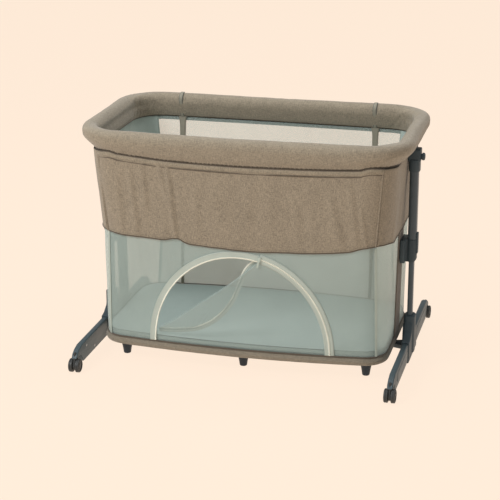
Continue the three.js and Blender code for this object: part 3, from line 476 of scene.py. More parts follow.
def lengths(points):
    """Running length along the first axis, averaged over the second."""
    step = np.linalg.norm(np.diff(points, axis=0), axis=-1)
    if step.ndim > 1:
        step = step.mean(axis=1)
    return np.concatenate([[0], np.cumsum(step)])


def grid_mesh(name, points, wrap_u=False, wrap_v=False):
    """Quads over points[u][v]; their outside is where u runs right and v runs up."""
    p = np.asarray(points, float)
    nu, nv = p.shape[:2]
    full = p
    if wrap_u:
        full = np.concatenate([full, full[:1]], 0)
    if wrap_v:
        full = np.concatenate([full, full[:, :1]], 1)
    ulen = lengths(full)
    vlen = lengths(np.swapaxes(full, 0, 1))
    i, j = np.meshgrid(np.arange(full.shape[0] - 1), np.arange(full.shape[1] - 1), indexing="ij")
    i, j = i.ravel(), j.ravel()
    corners = [(i, j), (i + 1, j), (i + 1, j + 1), (i, j + 1)]
    faces = np.stack([(a % nu) * nv + (b % nv) for a, b in corners], -1)
    uvs = np.stack([np.stack([ulen[a], vlen[b]], -1) for a, b in corners], 1)
    mesh = bpy.data.meshes.new(name)
    mesh.from_pydata(p.reshape(-1, 3).tolist(), [], faces.tolist())
    layer = mesh.uv_layers.new(name="cloth")
    layer.data.foreach_set("uv", uvs.reshape(-1))
    mesh.update()
    return mesh


def apply_modifiers(obj):
    graph = bpy.context.evaluated_depsgraph_get()
    mesh = bpy.data.meshes.new_from_object(obj.evaluated_get(graph), depsgraph=graph)
    old = obj.data
    obj.modifiers.clear()
    obj.data = mesh
    mesh.name = obj.name
    bpy.data.meshes.remove(old)
    return obj


def thicken(obj, thickness):
    mod = obj.modifiers.new("thickness", "SOLIDIFY")
    mod.thickness = thickness
    mod.offset = -1.0
    mod.use_even_offset = True
    return apply_modifiers(obj)


def frames_along(path, closed):
    """Unit side and up vectors carried along a path without twisting."""
    ahead = np.roll(path, -1, 0) - np.roll(path, 1, 0)
    if not closed:
        ahead[0] = path[1] - path[0]
        ahead[-1] = path[-1] - path[-2]
    ahead /= np.linalg.norm(ahead, axis=1, keepdims=True)
    up = np.array([0.0, 0.0, 1.0]) if abs(ahead[0][2]) < 0.8 else np.array([0.0, 1.0, 0.0])
    ups = []
    for t in ahead:
        up = up - t * up.dot(t)
        up = up / np.linalg.norm(up)
        ups.append(up)
    ups = np.array(ups)
    return np.cross(ahead, ups), ups


def tube_points(path, radius, sides=8, closed=False):
    path = np.asarray(path, float)
    side, up = frames_along(path, closed)
    angle = np.linspace(0, 2 * math.pi, sides, endpoint=False)
    r = np.broadcast_to(np.asarray(radius, float).reshape(-1, 1, 1), (len(path), 1, 1))
    ring = side[:, None] * np.cos(angle)[None, :, None] + up[:, None] * np.sin(angle)[None, :, None]
    return path[:, None] + ring * r


def close_up(bm):
    """Fills the open ends and turns every face outward."""
    edges = [e for e in bm.edges if e.is_boundary]
    if edges:
        bmesh.ops.holes_fill(bm, edges=edges, sides=0)
    bmesh.ops.recalc_face_normals(bm, faces=bm.faces)


def cap_ends(mesh):
    bm = bmesh.new()
    bm.from_mesh(mesh)
    close_up(bm)
    bm.to_mesh(mesh)
    bm.free()


def solid(name, points, wrap_u, wrap_v, material, body="basket", sharp=None):
    """A closed piece over a grid of points, with its open ends capped."""
    mesh = grid_mesh(name, points, wrap_u, wrap_v)
    cap_ends(mesh)
    obj = add_object(name, mesh, material, body)
    if sharp:
        mesh.set_sharp_from_angle(angle=math.radians(sharp))
    return obj


def tube(name, path, radius, material, closed=False, sides=8):
    solid(name, tube_points(path, radius, sides, closed), closed, True, material)


def merged(name, grids, material):
    """One piece from several grids of points, each closed round v, with their ends capped."""
    bm = bmesh.new()
    for points in grids:
        mesh = grid_mesh("part", points, False, True)
        bm.from_mesh(mesh)
        bpy.data.meshes.remove(mesh)
    close_up(bm)
    mesh = bpy.data.meshes.new(name)
    bm.to_mesh(mesh)
    bm.free()
    add_object(name, mesh, material)


def along(path, distances):
    """Points and directions at distances along a path."""
    path = np.asarray(path, float)
    run = lengths(path)

    def at(d):
        return np.stack([np.interp(d, run, path[:, k]) for k in range(3)], -1)

    d = at(distances + 0.5 * MM) - at(distances - 0.5 * MM)
    return at(distances), d / np.maximum(np.linalg.norm(d, axis=1, keepdims=True), 1e-9)


def stitches(name, paths, material, pitch=4.2 * MM, radius=0.4 * MM):
    """Dashes of sewing thread along paths that lie on the cloth."""
    half = pitch * 0.32
    t = np.linspace(-1, 1, 4)
    dashes = []
    for path in paths:
        total = lengths(np.asarray(path, float))[-1]
        middle, ahead = along(path, np.arange(pitch / 2, total - pitch, pitch) + half)
        for m, d in zip(middle, ahead):
            dash = m[None] + d[None] * t[:, None] * pitch * 0.32
            dashes.append(tube_points(dash, radius * np.array([0.5, 1, 1, 0.5]), 5))
    merged(name, dashes, material)


def strip_along(name, path, across, normal, half, thick, material, crown=0.0):
    """A flat band that follows a path: across and normal are unit vectors at each point."""
    half = np.broadcast_to(np.asarray(half, float), (len(path),))
    t = np.array([-1.0, -0.985, -0.6, 0.0, 0.6, 0.985, 1.0])
    top = np.array([0.25, 1.0, 1.0, 1.0, 1.0, 1.0, 0.25]) * thick
    top = top + crown * (1 - t ** 2)
    side = [(a, h) for a, h in zip(t, top)] + [(a, -0.25 * thick) for a in t[::-1]]
    points = np.stack([path + across * (a * half)[:, None] + normal * h for a, h in side], 1)
    return solid(name, points, False, True, material, sharp=50)


def lathe(profile, axis_point, axis="x", sides=48, flip=1.0):
    """Points of a turned body from a profile of (radius, along the axis) pairs, in metres."""
    angle = np.linspace(0, 2 * math.pi, sides, endpoint=False)
    rows = []
    for radius, at in profile:
        if axis == "x":
            ring = [(flip * at, radius * math.cos(a), radius * math.sin(a)) for a in angle]
        else:
            ring = [(radius * math.cos(a), radius * math.sin(a), at) for a in angle]
        rows.append(np.array(ring) + np.array(axis_point))
    return np.stack(rows, 1)


def turned(name, profile, point, material, body, axis="x", sides=48, flip=1.0):
    points = lathe(profile, point, axis, sides, flip)
    return solid(name, points, True, False, material, body, SHARP)


def refined(node, material, bevel=0.8 * MM):
    """A smoother stand-in for a CAD node: the same solid, with its edges rounded."""
    source = frame["nodes"][node]
    mesh = source.data.copy()
    bm = bmesh.new()
    bm.from_mesh(mesh)
    bmesh.ops.remove_doubles(bm, verts=bm.verts, dist=1e-5)
    bmesh.ops.dissolve_limit(bm, angle_limit=math.radians(1.0), verts=bm.verts, edges=bm.edges)
    for layer in list(bm.loops.layers.uv):
        bm.loops.layers.uv.remove(layer)
    bm.to_mesh(mesh)
    bm.free()
    obj = add_object(node + "_finished", mesh, material, body_of(source)[0])
    if bevel > 0:
        mod = obj.modifiers.new("edges", "BEVEL")
        mod.width = bevel
        mod.segments = 2
        mod.limit_method = "ANGLE"
        mod.angle_limit = math.radians(SHARP)
        apply_modifiers(obj)
    obj.data.polygons.foreach_set("use_smooth", [True] * len(obj.data.polygons))
    obj.data.set_sharp_from_angle(angle=math.radians(SHARP))
    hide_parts(node)


# ---------- Rim ----------
# Height of the rim cover's lower edge over its CAD height, in mm, at stations.
EDGE_RISE = [
    (-2.5, 0), (-2, 1), (-1, 5), (-0.45, 10), (-0.02, 10), (0.06, 5), (0.19, -2), (0.35, -5), (0.52, -6),
    (0.68, -4), (0.84, -1), (0.96, 3), (1.1, 10), (1.5, 8), (2, 3), (2.5, 0), (5.5, 0),
]


def edge_rise(s):
    s = np.where(np.asarray(s) > 5.5, np.asarray(s) - 8, s)
    return curve(s * MM, EDGE_RISE)


PAD_OUTSIDE = [(5.5, -52), (12.6, -38), (19.0, -22), (22.8, -5), (21.8, 8), (13.6, 16.6)]
RIM_CROWN = 19.6
END_LEAN = (TUBE_HIGH.x - TUBE_R) - TOP_LENGTH + 2 * MM
PAD_DEPTH = 52 * MM
PAD_STRAIGHT = 13.4 * MM


def pad_section(count):
    """The pad's section as (out, up) points: up the outside, over the crown, down the inside."""
    half = PAD_OUTSIDE + [(0, RIM_CROWN)]
    loop = half + [(-a, b) for a, b in PAD_OUTSIDE[::-1]] + [(0, -51.0)]
    p = np.array(loop, float) * MM
    n = len(p)
    fine = []
    for i in range(n):
        a, b, c, d = p[i - 1], p[i], p[(i + 1) % n], p[(i + 2) % n]
        for t in np.linspace(0, 1, 12, endpoint=False):
            fine.append(0.5 * (2 * b + (c - a) * t + (2 * a - 5 * b + 4 * c - d) * t ** 2
                               + (3 * b - a - 3 * c + d) * t ** 3))
    fine = np.array(fine)
    run = lengths(np.concatenate([fine, fine[:1]]))
    at = np.linspace(0, run[-1], count, endpoint=False)
    closed = np.concatenate([fine, fine[:1]])
    return np.stack([np.interp(at, run, closed[:, k]) for k in range(2)], -1)


def rim_point(s, out, up):
    """A point of the rim's pad at a station; below the tube it leans inward at the ends."""
    s, out, up = np.broadcast_arrays(np.asarray(s, float), out, up)
    q = RIM.at(s)
    below = np.maximum(0, -up - PAD_STRAIGHT) / (PAD_DEPTH - PAD_STRAIGHT)
    place = out - END_LEAN * q[..., 2] ** 2 * below
    lift = edge_rise(s) * np.clip((-up - 16 * MM) / (36 * MM), 0, 1)
    return outward(q, place, RIM_Z + up + lift)


def swell(obj, pinned, pressure, cap, frames=14):
    """Inflates a closed cloth with pressure, and keeps each point within the cap."""
    start = np.array([v.co[:] for v in obj.data.vertices])
    group = obj.vertex_groups.new(name="pinned")
    group.add([int(i) for i in pinned], 1.0, "REPLACE")
    mod = obj.modifiers.new("cloth", "CLOTH")
    settings = mod.settings
    settings.quality = 4
    settings.mass = 0.25
    settings.tension_stiffness = 18
    settings.compression_stiffness = 12
    settings.bending_stiffness = 0.6
    settings.use_pressure = True
    settings.uniform_pressure_force = pressure
    settings.vertex_group_mass = "pinned"
    settings.effector_weights.gravity = 0
    mod.collision_settings.use_collision = False
    mod.point_cache.frame_start = 1
    mod.point_cache.frame_end = frames
    scene = bpy.context.scene
    for f in range(1, frames + 1):
        scene.frame_set(f)
    graph = bpy.context.evaluated_depsgraph_get()
    end = np.array([v.co[:] for v in obj.evaluated_get(graph).data.vertices])
    obj.modifiers.clear()
    obj.vertex_groups.clear()
    scene.frame_set(1)
    move = end - start
    size = np.linalg.norm(move, axis=1, keepdims=True)
    move *= np.minimum(1, cap / np.maximum(size, 1e-9))
    obj.data.vertices.foreach_set("co", (start + move).reshape(-1))
    obj.data.update()


def rim_cover(mats):
    count = 44
    s = RIM.even(0, 8, 4.6 * MM)[:-1]
    section = pad_section(count)
    up = section[:, 1]
    points = rim_point(s[:, None], section[None, :, 0], up[None, :])
    mesh = grid_mesh("rim_cover", points, True, True)
    obj = add_object("rim_cover", mesh, mats["rim"])
    low = np.where(up < -44 * MM)[0]
    pinned = (np.arange(len(s))[:, None] * count + low[None]).ravel()
    swell(obj, pinned, 2.5, 2.4 * MM)
    co = np.array([v.co[:] for v in mesh.vertices]).reshape(len(s), count, 3)
    normal = np.zeros(len(mesh.vertices) * 3)
    mesh.vertex_normals.foreach_get("vector", normal)
    normal = normal.reshape(len(s), count, 3)
    sn = np.where(s > 4.0, s - 8, s)[:, None]
    arc = np.interp(s, RIM.s, RIM.arc)[:, None]
    outer = np.clip(section[:, 0] / (20 * MM), -1, 1)[None]
    low = np.clip((-up - 22 * MM) / (26 * MM), 0, 1)[None]
    move = 0.7 * MM * roughness(co, 70 * MM) + 0.35 * MM * roughness(co, 22 * MM, 7.0)
    # Puckers where the cloth is gathered into the lower seam.
    wobble = arc + 3.0 * MM * roughness(co, 45 * MM, 3.0)
    pucker = np.sin(2 * math.pi * wobble / (12.5 * MM))
    move += 0.55 * MM * pucker * low * (0.35 + 0.65 * (outer > 0))
    gather = np.exp(-0.5 * ((sn + 0.02) / 0.1) ** 2) * low * (outer > 0)
    slant = np.sin(2 * math.pi * (arc + up[None] * 1.3) / (16 * MM))
    move += 1.1 * MM * slant * gather
    # Sewn joints across the cover.
    for seam in (1.42, 3.35, 5.65, 7.0):
        away = (arc - np.interp(seam, RIM.s, RIM.arc)) / MM
        dip = -1.5 * MM * np.exp(-0.5 * (away / 1.6) ** 2)
        move += dip + 0.5 * MM * np.exp(-0.5 * ((np.abs(away) - 6) / 3) ** 2)
    co = co + normal * move[..., None]
    mesh.vertices.foreach_set("co", co.reshape(-1))
    mesh.update()
    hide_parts("rim_padding")


def rim_trim(mats):
    """The bead on the cover's lower edge; under it a dark tube and a dark lining strip, painted shade in the
    gap where the zip sits.
    """
    s = RIM.even(0, 8, 5 * MM)[:-1]
    for side, name in ((1, "outer"), (-1, "inner")):
        path = rim_point(s, side * 5.8 * MM, -50.6 * MM)
        tube(f"rim_bead_{name}", path, 1.5 * MM, mats["piping"], closed=True)
    # A dark tube in the gap under the bead: painted shade.
    tube("rim_zip_gap_shade", rim_point(s, 2.0 * MM, -53.0 * MM), 2.6 * MM, mats["gap_shade"], closed=True)
    # A dark lining strip closing the gap behind it: painted shade.
    low = wall(s, Z_TOP - 14 * MM + edge_rise(s), 1.5 * MM)
    high = rim_point(s, 3.2 * MM, -46.0 * MM)
    lining = np.stack([low + (high - low) * k for k in (0, 0.35, 0.7, 1.0)], 1)
    thicken(add_object("rim_gap_shade_lining", grid_mesh("rim_gap_shade_lining", lining, True), mats["gap_shade"]), 0.8 * MM)


# ---------- Skirt ----------
# The skirt's hem in mm at stations.
HEM_LINE = [
    (-2.5, 395), (-1.5, 397), (-0.9, 399), (-0.45, 398), (-0.08, 395), (0.013, 394), (0.105, 392.5),
    (0.175, 393), (0.234, 398.5), (0.267, 389), (0.335, 383.5), (0.449, 380), (0.561, 377.5), (0.673, 380),
    (0.785, 382.6), (0.895, 387), (1.004, 394), (1.2, 404), (1.45, 408), (2, 402), (2.5, 399), (3.1, 396),
    (3.75, 394),
]
SKIRT_FOLDS = [  # x at the top and the bottom, height span low/high, width, depth, all in mm
    (-198, -176, 390, 600, 6, 2.6), (-313, -291, 400, 600, 7, 1.6), (-274, -262, 480, 610, 6, 1.4),
    (-225, -196, 500, 612, 5, 1.6), (-120, -112, 420, 560, 8, 0.8), (40, 30, 430, 590, 14, 0.9),
    (170, 178, 400, 520, 10, 0.8), (262, 300, 400, 560, 9, 1.5), (318, 340, 420, 600, 7, 1.5),
    (350, 366, 400, 520, 5, 1.2), (-352, -338, 400, 560, 8, 1.0),
]


def turned_station(s):
    return np.where(np.asarray(s) > 4.2, np.asarray(s) - 8, s)


def hem_height(s):
    return curve(turned_station(s) * MM, HEM_LINE)


def skirt_top(s):
    return Z_TOP - 5 * MM + edge_rise(s)


def skirt_point(s, z):
    """The skirt's outside, with its folds and waves."""
    p = wall(s, z, 0.0)
    x = p[..., 0]
    out = np.full(x.shape, SKIRT_OUT)
    front = p[..., 1] < 0
    for top, bottom, low, high, width, depth in SKIRT_FOLDS:
        t = (z - low * MM) / ((high - low) * MM)
        centre = (bottom + (top - bottom) * t) * MM
        fade = np.clip((t + 0.12) / 0.3, 0, 1) * np.clip((1.12 - t) / 0.3, 0, 1)
        away = (x - centre) / (width * MM)
        ridge = np.exp(-0.5 * away ** 2) - 0.55 * np.exp(-0.5 * ((away - 1.7) / 0.8) ** 2)
        out = out + 2.0 * depth * MM * ridge * fade * front
    near = roughness(p * [1, 1, 0.35], 60 * MM, 2.0)
    fine = roughness(p * [1, 1, 0.5], 24 * MM, 9.0)
    out = out + 2.6 * MM * np.maximum(near, -0.6) + 0.8 * MM * fine + 0.8 * MM
    low = np.exp(-(z - hem_height(s)) / (30 * MM))
    out = out + 1.6 * MM * roughness(p * [1, 1, 0.1], 32 * MM, 4.0) * low
    out = np.maximum(out, 1.2 * MM)
    return wall(s, z, out)


def skirt(mats, name, start, end, node):
    s = HEM_RING.even(start, end, 4.5 * MM)
    bottom = hem_height(s)[:, None]
    z = bottom + (skirt_top(s)[:, None] - bottom) * np.linspace(0, 1, 52)[None]
    points = skirt_point(np.broadcast_to(s[:, None], z.shape), z)
    obj = add_object(name, grid_mesh(name, points), mats["skirt"])
    thicken(obj, 1.2 * MM)
    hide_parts(node)
    hem = points[:, 0] + (points[:, 1] - points[:, 0]) * 0.2
    tube(name + "_piping", hem, 1.9 * MM, mats["piping"])
    sewn = skirt_point(s, bottom[:, 0] + 7 * MM)
    stitches(name + "_hem_stitches", [sewn], mats["thread"])


def zip_band(mats):
    """The crowned strip between the zip and the skirt's upper seam, over the front."""
    s = HEM_RING.even(*FRONT, 5 * MM)
    top = skirt_top(s) + 1.0 * MM
    rows = np.linspace(0, 1, 7)
    bulge = np.sin(np.pi * rows) ** 0.6 * 2.6 * MM
    z = top[:, None] - 15.5 * MM * (1 - rows[None])
    points = wall(s[:, None], z, SKIRT_OUT + 0.8 * MM + bulge[None])
    thicken(add_object("zip_band", grid_mesh("zip_band", points), mats["rim"]), 1.4 * MM)
    sewn = wall(s, z[:, 0] + 2.0 * MM, SKIRT_OUT + 1.9 * MM)
    stitches("zip_band_stitches", [sewn], mats["thread"])
    # A dark piping tube under the band: its seam, drawn dark as the painted shadow line beneath it.
    under = wall(s, z[:, 0] - 2.4 * MM, SKIRT_OUT + 0.9 * MM)
    tube("zip_band_seam_shade", under, 1.3 * MM, mats["piping"])
    over = wall(s, top + 0.6 * MM, SKIRT_OUT + 1.4 * MM)
    tube("zip_band_bead", over, 1.4 * MM, mats["piping"])


def corner_seam(mats, station, name):
    """A raised double seam that runs down the skirt."""
    z = np.linspace(float(hem_height(station)), float(skirt_top(station)), 60)
    for k, away in enumerate((-0.02, 0.02)):
        tube(f"{name}_seam_{k}", wall(station + away, z, SKIRT_OUT + 1.1 * MM), 1.9 * MM, mats["skirt"])


def wall_binding(mats, station, name, high=Z_HEM + 8 * MM):
    """A pale tape sewn down a joint between two walls."""
    path = wall(station, np.linspace(Z_FOOT, high, 40), 0.6 * MM)
    nx, ny = HEM_RING.at(station)[2:]
    normal = np.tile([nx, ny, 0.0], (40, 1))
    across = np.tile([-ny, nx, 0.0], (40, 1))
    strip_along(name, path, across, normal, 4 * MM, 0.9 * MM, mats["binding"], crown=0.4 * MM)


# ---------- Mesh walls and door ----------
DOOR_LOW, DOOR_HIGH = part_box("door_zip_tape")
DOOR_X = (DOOR_LOW.x + DOOR_HIGH.x) / 2
DOOR_HALF = (DOOR_HIGH.x - DOOR_LOW.x) / 2 - 10 * MM
DOOR_RISE = DOOR_HIGH.z - 10 * MM - Z_FOOT
SLIDER_ANGLE = math.acos(0.24)


def arch(angle, grow=0.0):
    """x and z of the arch at an angle from its right foot, moved outward by grow."""
    x = DOOR_X + (DOOR_HALF + grow) * np.cos(angle)
    z = Z_FOOT + (DOOR_RISE + grow) * np.sin(angle)
    return x, z


def front_point(x, z, out=0.0):
    return wall(front_station(x, z), z, out)


def arch_top(x):
    t = np.clip((np.asarray(x) - DOOR_X) / DOOR_HALF, -1, 1)
    return Z_FOOT + DOOR_RISE * np.sqrt(1 - t ** 2)


# x and z in mm: the line along which the open flap turns inward, and the flap's toothed free edge.
CREASE = [(63, 345), (-7, 283), (-120, 197), (-184, 148), (-242, 109), (-256, 97)]
FREE_EDGE = [
    (52, 341), (27, 324), (5, 269), (-17, 214), (-46, 174), (-84, 140), (-129, 117), (-197, 106), (-243, 104),
]
FLAP_TURN = 0.16                # the share of the flap's depth that turns over the crease


def wall_top(s):
    return Z_TOP + edge_rise(s) - 3 * MM


def uneven_net(s, z):
    """The net at stations and heights: just inside the wall's face, and slightly uneven."""
    return wall(s, z, 0.9 * MM * roughness(wall(s, z), 110 * MM, 5.0) - 1.2 * MM)


def net_sheet(start, end):
    s = HEM_RING.even(start, end, 6 * MM)[:, None]
    return uneven_net(s, Z_FOOT + (wall_top(s) - Z_FOOT) * np.linspace(0, 1, 70)[None])


def add_net(mats, name, points, node, kind="net"):
    obj = add_object(name, grid_mesh(name, points), mats[kind])
    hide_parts(node)


def front_net(mats):
    """The front wall. Its columns start on the door's arch, so that its edge follows the arch."""
    s = HEM_RING.even(*FRONT, 4.5 * MM)
    probe = np.linspace(Z_FOOT, Z_FOOT + DOOR_RISE, 500)
    x = wall(s[:, None], probe[None])[..., 0]
    on_front = ((s > 0) & (s < 1))[:, None]
    inside = (np.abs(x - DOOR_X) < DOOR_HALF) & (probe[None] < arch_top(x)) & on_front
    highest = probe[len(probe) - 1 - inside[:, ::-1].argmax(axis=1)]
    start = np.where(inside.any(axis=1), highest, Z_FOOT)[:, None]
    z = start + (wall_top(s)[:, None] - start) * np.linspace(0, 1, 60)[None]
    add_net(mats, "front_mesh", uneven_net(s[:, None], z), "front_mesh_wall")


def door_panel(mats):
    """The zipped part of the door, from the base up to the arch and the crease."""
    x = DOOR_X + DOOR_HALF * np.sin(np.linspace(-0.985, 0.985, 110) * math.pi / 2)
    slider_x = arch(SLIDER_ANGLE)[0]
    top = np.where(x < slider_x, np.minimum(curve(x, CREASE), arch_top(x)), arch_top(x))[:, None]
    z = Z_FOOT + (top - Z_FOOT) * np.linspace(0, 1, 36)[None]
    add_net(mats, "door_mesh", uneven_net(front_station(x[:, None], z), z), "door_panel", "door")


def door_flap(mats):
    """The unzipped part: over the crease and down inside, to its curved free edge."""
    t = np.linspace(0, 1, 70)
    path = np.array(FREE_EDGE, float) * MM
    run = lengths(path)
    edge = np.stack([np.interp(t * run[-1], run, path[:, k]) for k in range(2)], -1)
    for _ in range(14):
        edge[1:-1] = edge[1:-1] * 0.5 + (edge[:-2] + edge[2:]) * 0.25
    crease_x = np.interp(t, [0, 1], [CREASE[0][0] * MM, CREASE[4][0] * MM])
    crease_z = curve(crease_x, CREASE)
    crease = front_point(crease_x, crease_z, -1.2 * MM)
    depth = np.linspace(0, 1, 26)
    rows = []
    for d in depth:
        if d < FLAP_TURN:
            turn = d / FLAP_TURN * math.pi
            rows.append(crease + np.array([0, 5.0 * MM * (1 - math.cos(turn)), 4.5 * MM * math.sin(turn)]))
        else:
            k = (d - FLAP_TURN) / (1 - FLAP_TURN)
            x = crease_x + (edge[:, 0] - crease_x) * k
            z = crease_z + (edge[:, 1] - crease_z) * k
            rows.append(np.stack([x, crease[:, 1] + 10 * MM + 6 * MM * k, z], -1))
    points = np.stack(rows, 1)
    points[..., 1] += 1.6 * MM * roughness(points, 45 * MM, 6.0) * np.clip(depth * 3 - 0.5, 0, 1)[None]
    points = points[:, ::-1]
    add_net(mats, "door_flap_mesh", points, "door_flap", "door")
    # Its zip tape, with the bare half of the teeth.
    free = points[:, 0]
    normal = np.broadcast_to(np.array([0, 1.0, 0]), free.shape)
    across = np.cross(normal, unit(np.gradient(free, axis=0)))
    strip_along("door_flap_tape", free, across, normal, 6 * MM, 0.8 * MM, mats["tape"])
    zip_teeth("door_flap_teeth", free + across * 6.4 * MM, mats, False)


def zip_teeth(name, path, mats, both):
    """Teeth along a path: one row, or both rows, meshed."""
    middle, ahead = along(path, np.arange(2 * MM, lengths(path)[-1] - 2 * MM, 2.6 * MM))
    teeth = []
    for k, (m, d) in enumerate(zip(middle, ahead)):
        side = np.cross(np.array([0, -1.0, 0]), d)
        lean = side * ((0.9 * MM if k % 2 else -0.9 * MM) if both else 0)
        ends = np.array([m + lean - side * 2.3 * MM, m + lean, m + lean + side * 2.3 * MM])
        teeth.append(tube_points(ends, np.array([0.8, 1.15, 0.8]) * MM, 5))
    merged(name, teeth, mats["teeth"])


def arch_tape(mats):
    """The tape round the arch: wide with both rows of teeth up to the slider, narrow with one beyond."""
    out = 0.5 * MM
    stretches = (
        ("door_tape_zipped", 0.0, SLIDER_ANGLE, 13.5, 0.0, 0.0),
        ("door_tape_open", SLIDER_ANGLE, math.pi, 9.5, -0.5, -8.5),
    )
    for name, start, end, half, middle, teeth in stretches:
        zipped = start == 0.0
        angle = np.linspace(start, end, 130)
        rows = []
        for grow in np.linspace(-half, half, 9) * MM + middle * MM:
            x, z = arch(angle, grow)
            rows.append(front_point(x, np.maximum(z, Z_FOOT), out + 1.2 * MM))
        points = np.stack(rows, 1)[::-1]
        obj = add_object(name, grid_mesh(name, points), mats["tape"])
        thicken(obj, 3.0 * MM)
        if zipped:
            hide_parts("door_zip_tape")
        edges = [rows[k] + np.array([0, -0.3 * MM, 0]) for k in (1, 7)]
        stitches(name + "_stitches", edges, mats["tape"], pitch=3.6 * MM, radius=0.35 * MM)
        x, z = arch(angle, teeth * MM)
        zip_teeth(name + "_teeth", front_point(x, z, out + 2.4 * MM), mats, zipped)
    refined("door_zip_slider", mats["binding"], 0.7 * MM)


# ---------- Straps and strips ----------
def end_strip(mats, side, sign, stretch):
    """The woven strip down the middle of an end wall."""
    node = side + "_end_strip"
    low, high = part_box(node)
    half = (high.y - low.y) / 2
    path = wall(stretch + 0.5, np.linspace(Z_FOOT, Z_HEM + 12 * MM, 50), 0.7 * MM)
    path[:, 1] = 0
    normal = np.tile([sign, 0.0, 0.0], (50, 1))
    across = np.tile([0.0, sign, 0.0], (50, 1))
    name = side + "_strip"
    obj = strip_along(name, path, across, normal, half, 1.6 * MM, mats["strip"], crown=0.8 * MM)
    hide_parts(node)
    lines = [path + across * k * (half - 5 * MM) + normal * 2.0 * MM for k in (-1, 1)]
    stitches(name + "_stitches", lines, mats["thread"])


def back_strap(mats, side, x):
    """A strap sewn down both faces of the back wall, and on over the rim's top."""
    name = "back_strap_" + side
    z = np.linspace(MAT_HIGH.z + 1 * MM, Z_TOP - 1 * MM, 60)
    s = 4 + (1 - front_station(x, z))
    path = wall(s, z, -4.4 * MM)
    heights = (MAT_HIGH.z, Z_HEM, Z_TOP - 25 * MM, Z_TOP - 8 * MM, Z_TOP)
    half = np.interp(z, heights, (4 * MM, 5 * MM, 8.5 * MM, 10.5 * MM, 13 * MM))
    normal = np.tile([0.0, -1.0, 0.0], (60, 1))
    across = np.tile([1.0, 0.0, 0.0], (60, 1))
    obj = strip_along(name + "_webbing", path, across, normal, half, 1.4 * MM, mats["strap"])
    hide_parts(name)
    lines = [path + across * (k * (half - 2 * MM))[:, None] + normal * 1.7 * MM for k in (-1, 1)]
    stitches(name + "_stitches", lines, mats["thread"])
    # Above the wall a narrow strap goes on over the rim's inside and top.
    loop = pad_section(240)
    start = np.argmin(np.hypot(loop[:, 0] + 6 * MM, loop[:, 1] + 50 * MM))
    stop = np.argmin(np.hypot(loop[:, 0] - 6 * MM, loop[:, 1] - 19 * MM))
    index = np.linspace(start, stop, 40).astype(int)
    over = rim_point(4 + (1 - (0.5 + x / (2 * RIM.cx))), loop[index, 0], loop[index, 1])
    right = np.tile([1.0, 0.0, 0.0], (40, 1))
    face = np.cross(right, unit(np.gradient(over, axis=0)))
    strip_along(name + "_over_rim", over + face * 0.9 * MM, right, face, 4.6 * MM, 1.1 * MM, mats["strap"],
                crown=0.5 * MM)
    for edge, k in (("left", -1), ("right", 1)):
        path = over + face * 1.4 * MM + right * k * 4.8 * MM
        tube(f"{name}_edge_{edge}", path, 0.9 * MM, mats["dark_edge"], sides=6)
    outside = wall(s, z, 1.0 * MM)
    strip_along(name + "_outside", outside, -across, -normal, half, 1.2 * MM, mats["strap"])


# ---------- Base ----------
def base_band(mats):
    """The cloth sleeve round the base tube, with two pressed lines round its outside."""
    q = BASE.at(BASE.even(0, 8, 6 * MM)[:-1])[:, None]
    angle = np.linspace(-math.pi, math.pi, 40, endpoint=False)[None]
    radius = np.full((1, 40), BAND_R)
    for groove in (math.radians(24), math.radians(-22)):
        radius = radius - 1.3 * MM * np.exp(-0.5 * ((angle - groove) / 0.07) ** 2)
    even = outward(q, radius * np.cos(angle), BASE_Z + radius * np.sin(angle))
    radius = radius + (0.45 * MM * roughness(even, 26 * MM, 1.0) - 0.2 * MM)
    points = outward(q, radius * np.cos(angle), BASE_Z + radius * np.sin(angle))
    obj = add_object("base_sleeve", grid_mesh("base_sleeve", points, True, True), mats["band"])
    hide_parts("base_band")
    foot = FOOT_RING.at(FOOT_RING.even(0, 8, 5 * MM)[:-1])
    tube("base_piping", outward(foot, 0.6 * MM, Z_FOOT - 1.5 * MM), 2.1 * MM, mats["piping"], closed=True)


def mattress(mats):
    """The thin mattress with a rounded, piped edge, and the edging where the wall meets it."""
    s = FOOT_RING.even(0, 8, 9 * MM)[:-1]
    q = FOOT_RING.at(s)
    low, high = MAT_LOW.z, MAT_HIGH.z
    middle, half = (low + high) / 2, (high - low) / 2
    inset, edge = 3.2 * MM, 6.0 * MM
    rows = [outward(q, -inset, low) * [share, share, 1] for share in (0.001, 0.5, 0.85, 0.97, 0.99)]
    for degrees in np.linspace(-80, 80, 9):
        a = math.radians(degrees)
        rows.append(outward(q, -(inset + edge * (1 - math.cos(a))), middle + half * math.sin(a)))
    side_rows = len(rows)
    for share in list(np.linspace(0.97, 0.1, 24)) + [0.001]:
        rows.append(outward(q, -inset, high) * [share, share, 1])
    p = np.stack(rows, 1)
    fold = 1.1 * MM * roughness(p * [1, 1.6, 1], 90 * MM, 8.0) + 0.5 * MM * roughness(p, 30 * MM, 5.0)
    p[..., 2] += np.where(np.arange(len(rows))[None] >= side_rows, fold - 1.2 * MM, 0)
    mesh = grid_mesh("mattress_pad", p, True, False)
    cap_ends(mesh)
    # Its weave lies flat, seen from above.
    co = np.array([v.co[:2] for v in mesh.vertices])
    index = np.zeros(len(mesh.loops), int)
    mesh.loops.foreach_get("vertex_index", index)
    mesh.uv_layers["cloth"].data.foreach_set("uv", co[index].reshape(-1))
    obj = add_object("mattress_pad", mesh, mats["mat"])
    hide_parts("mattress")
    piping = outward(q, -(inset + 1.5 * MM), high - 2.4 * MM)
    tube("mattress_piping", piping, 1.8 * MM, mats["mat"], True)
    edging = wall(s, high + 1.5 * MM, -4.0 * MM)
    tube("wall_foot_edging", edging, 1.3 * MM, mats["dark_edge"], True)


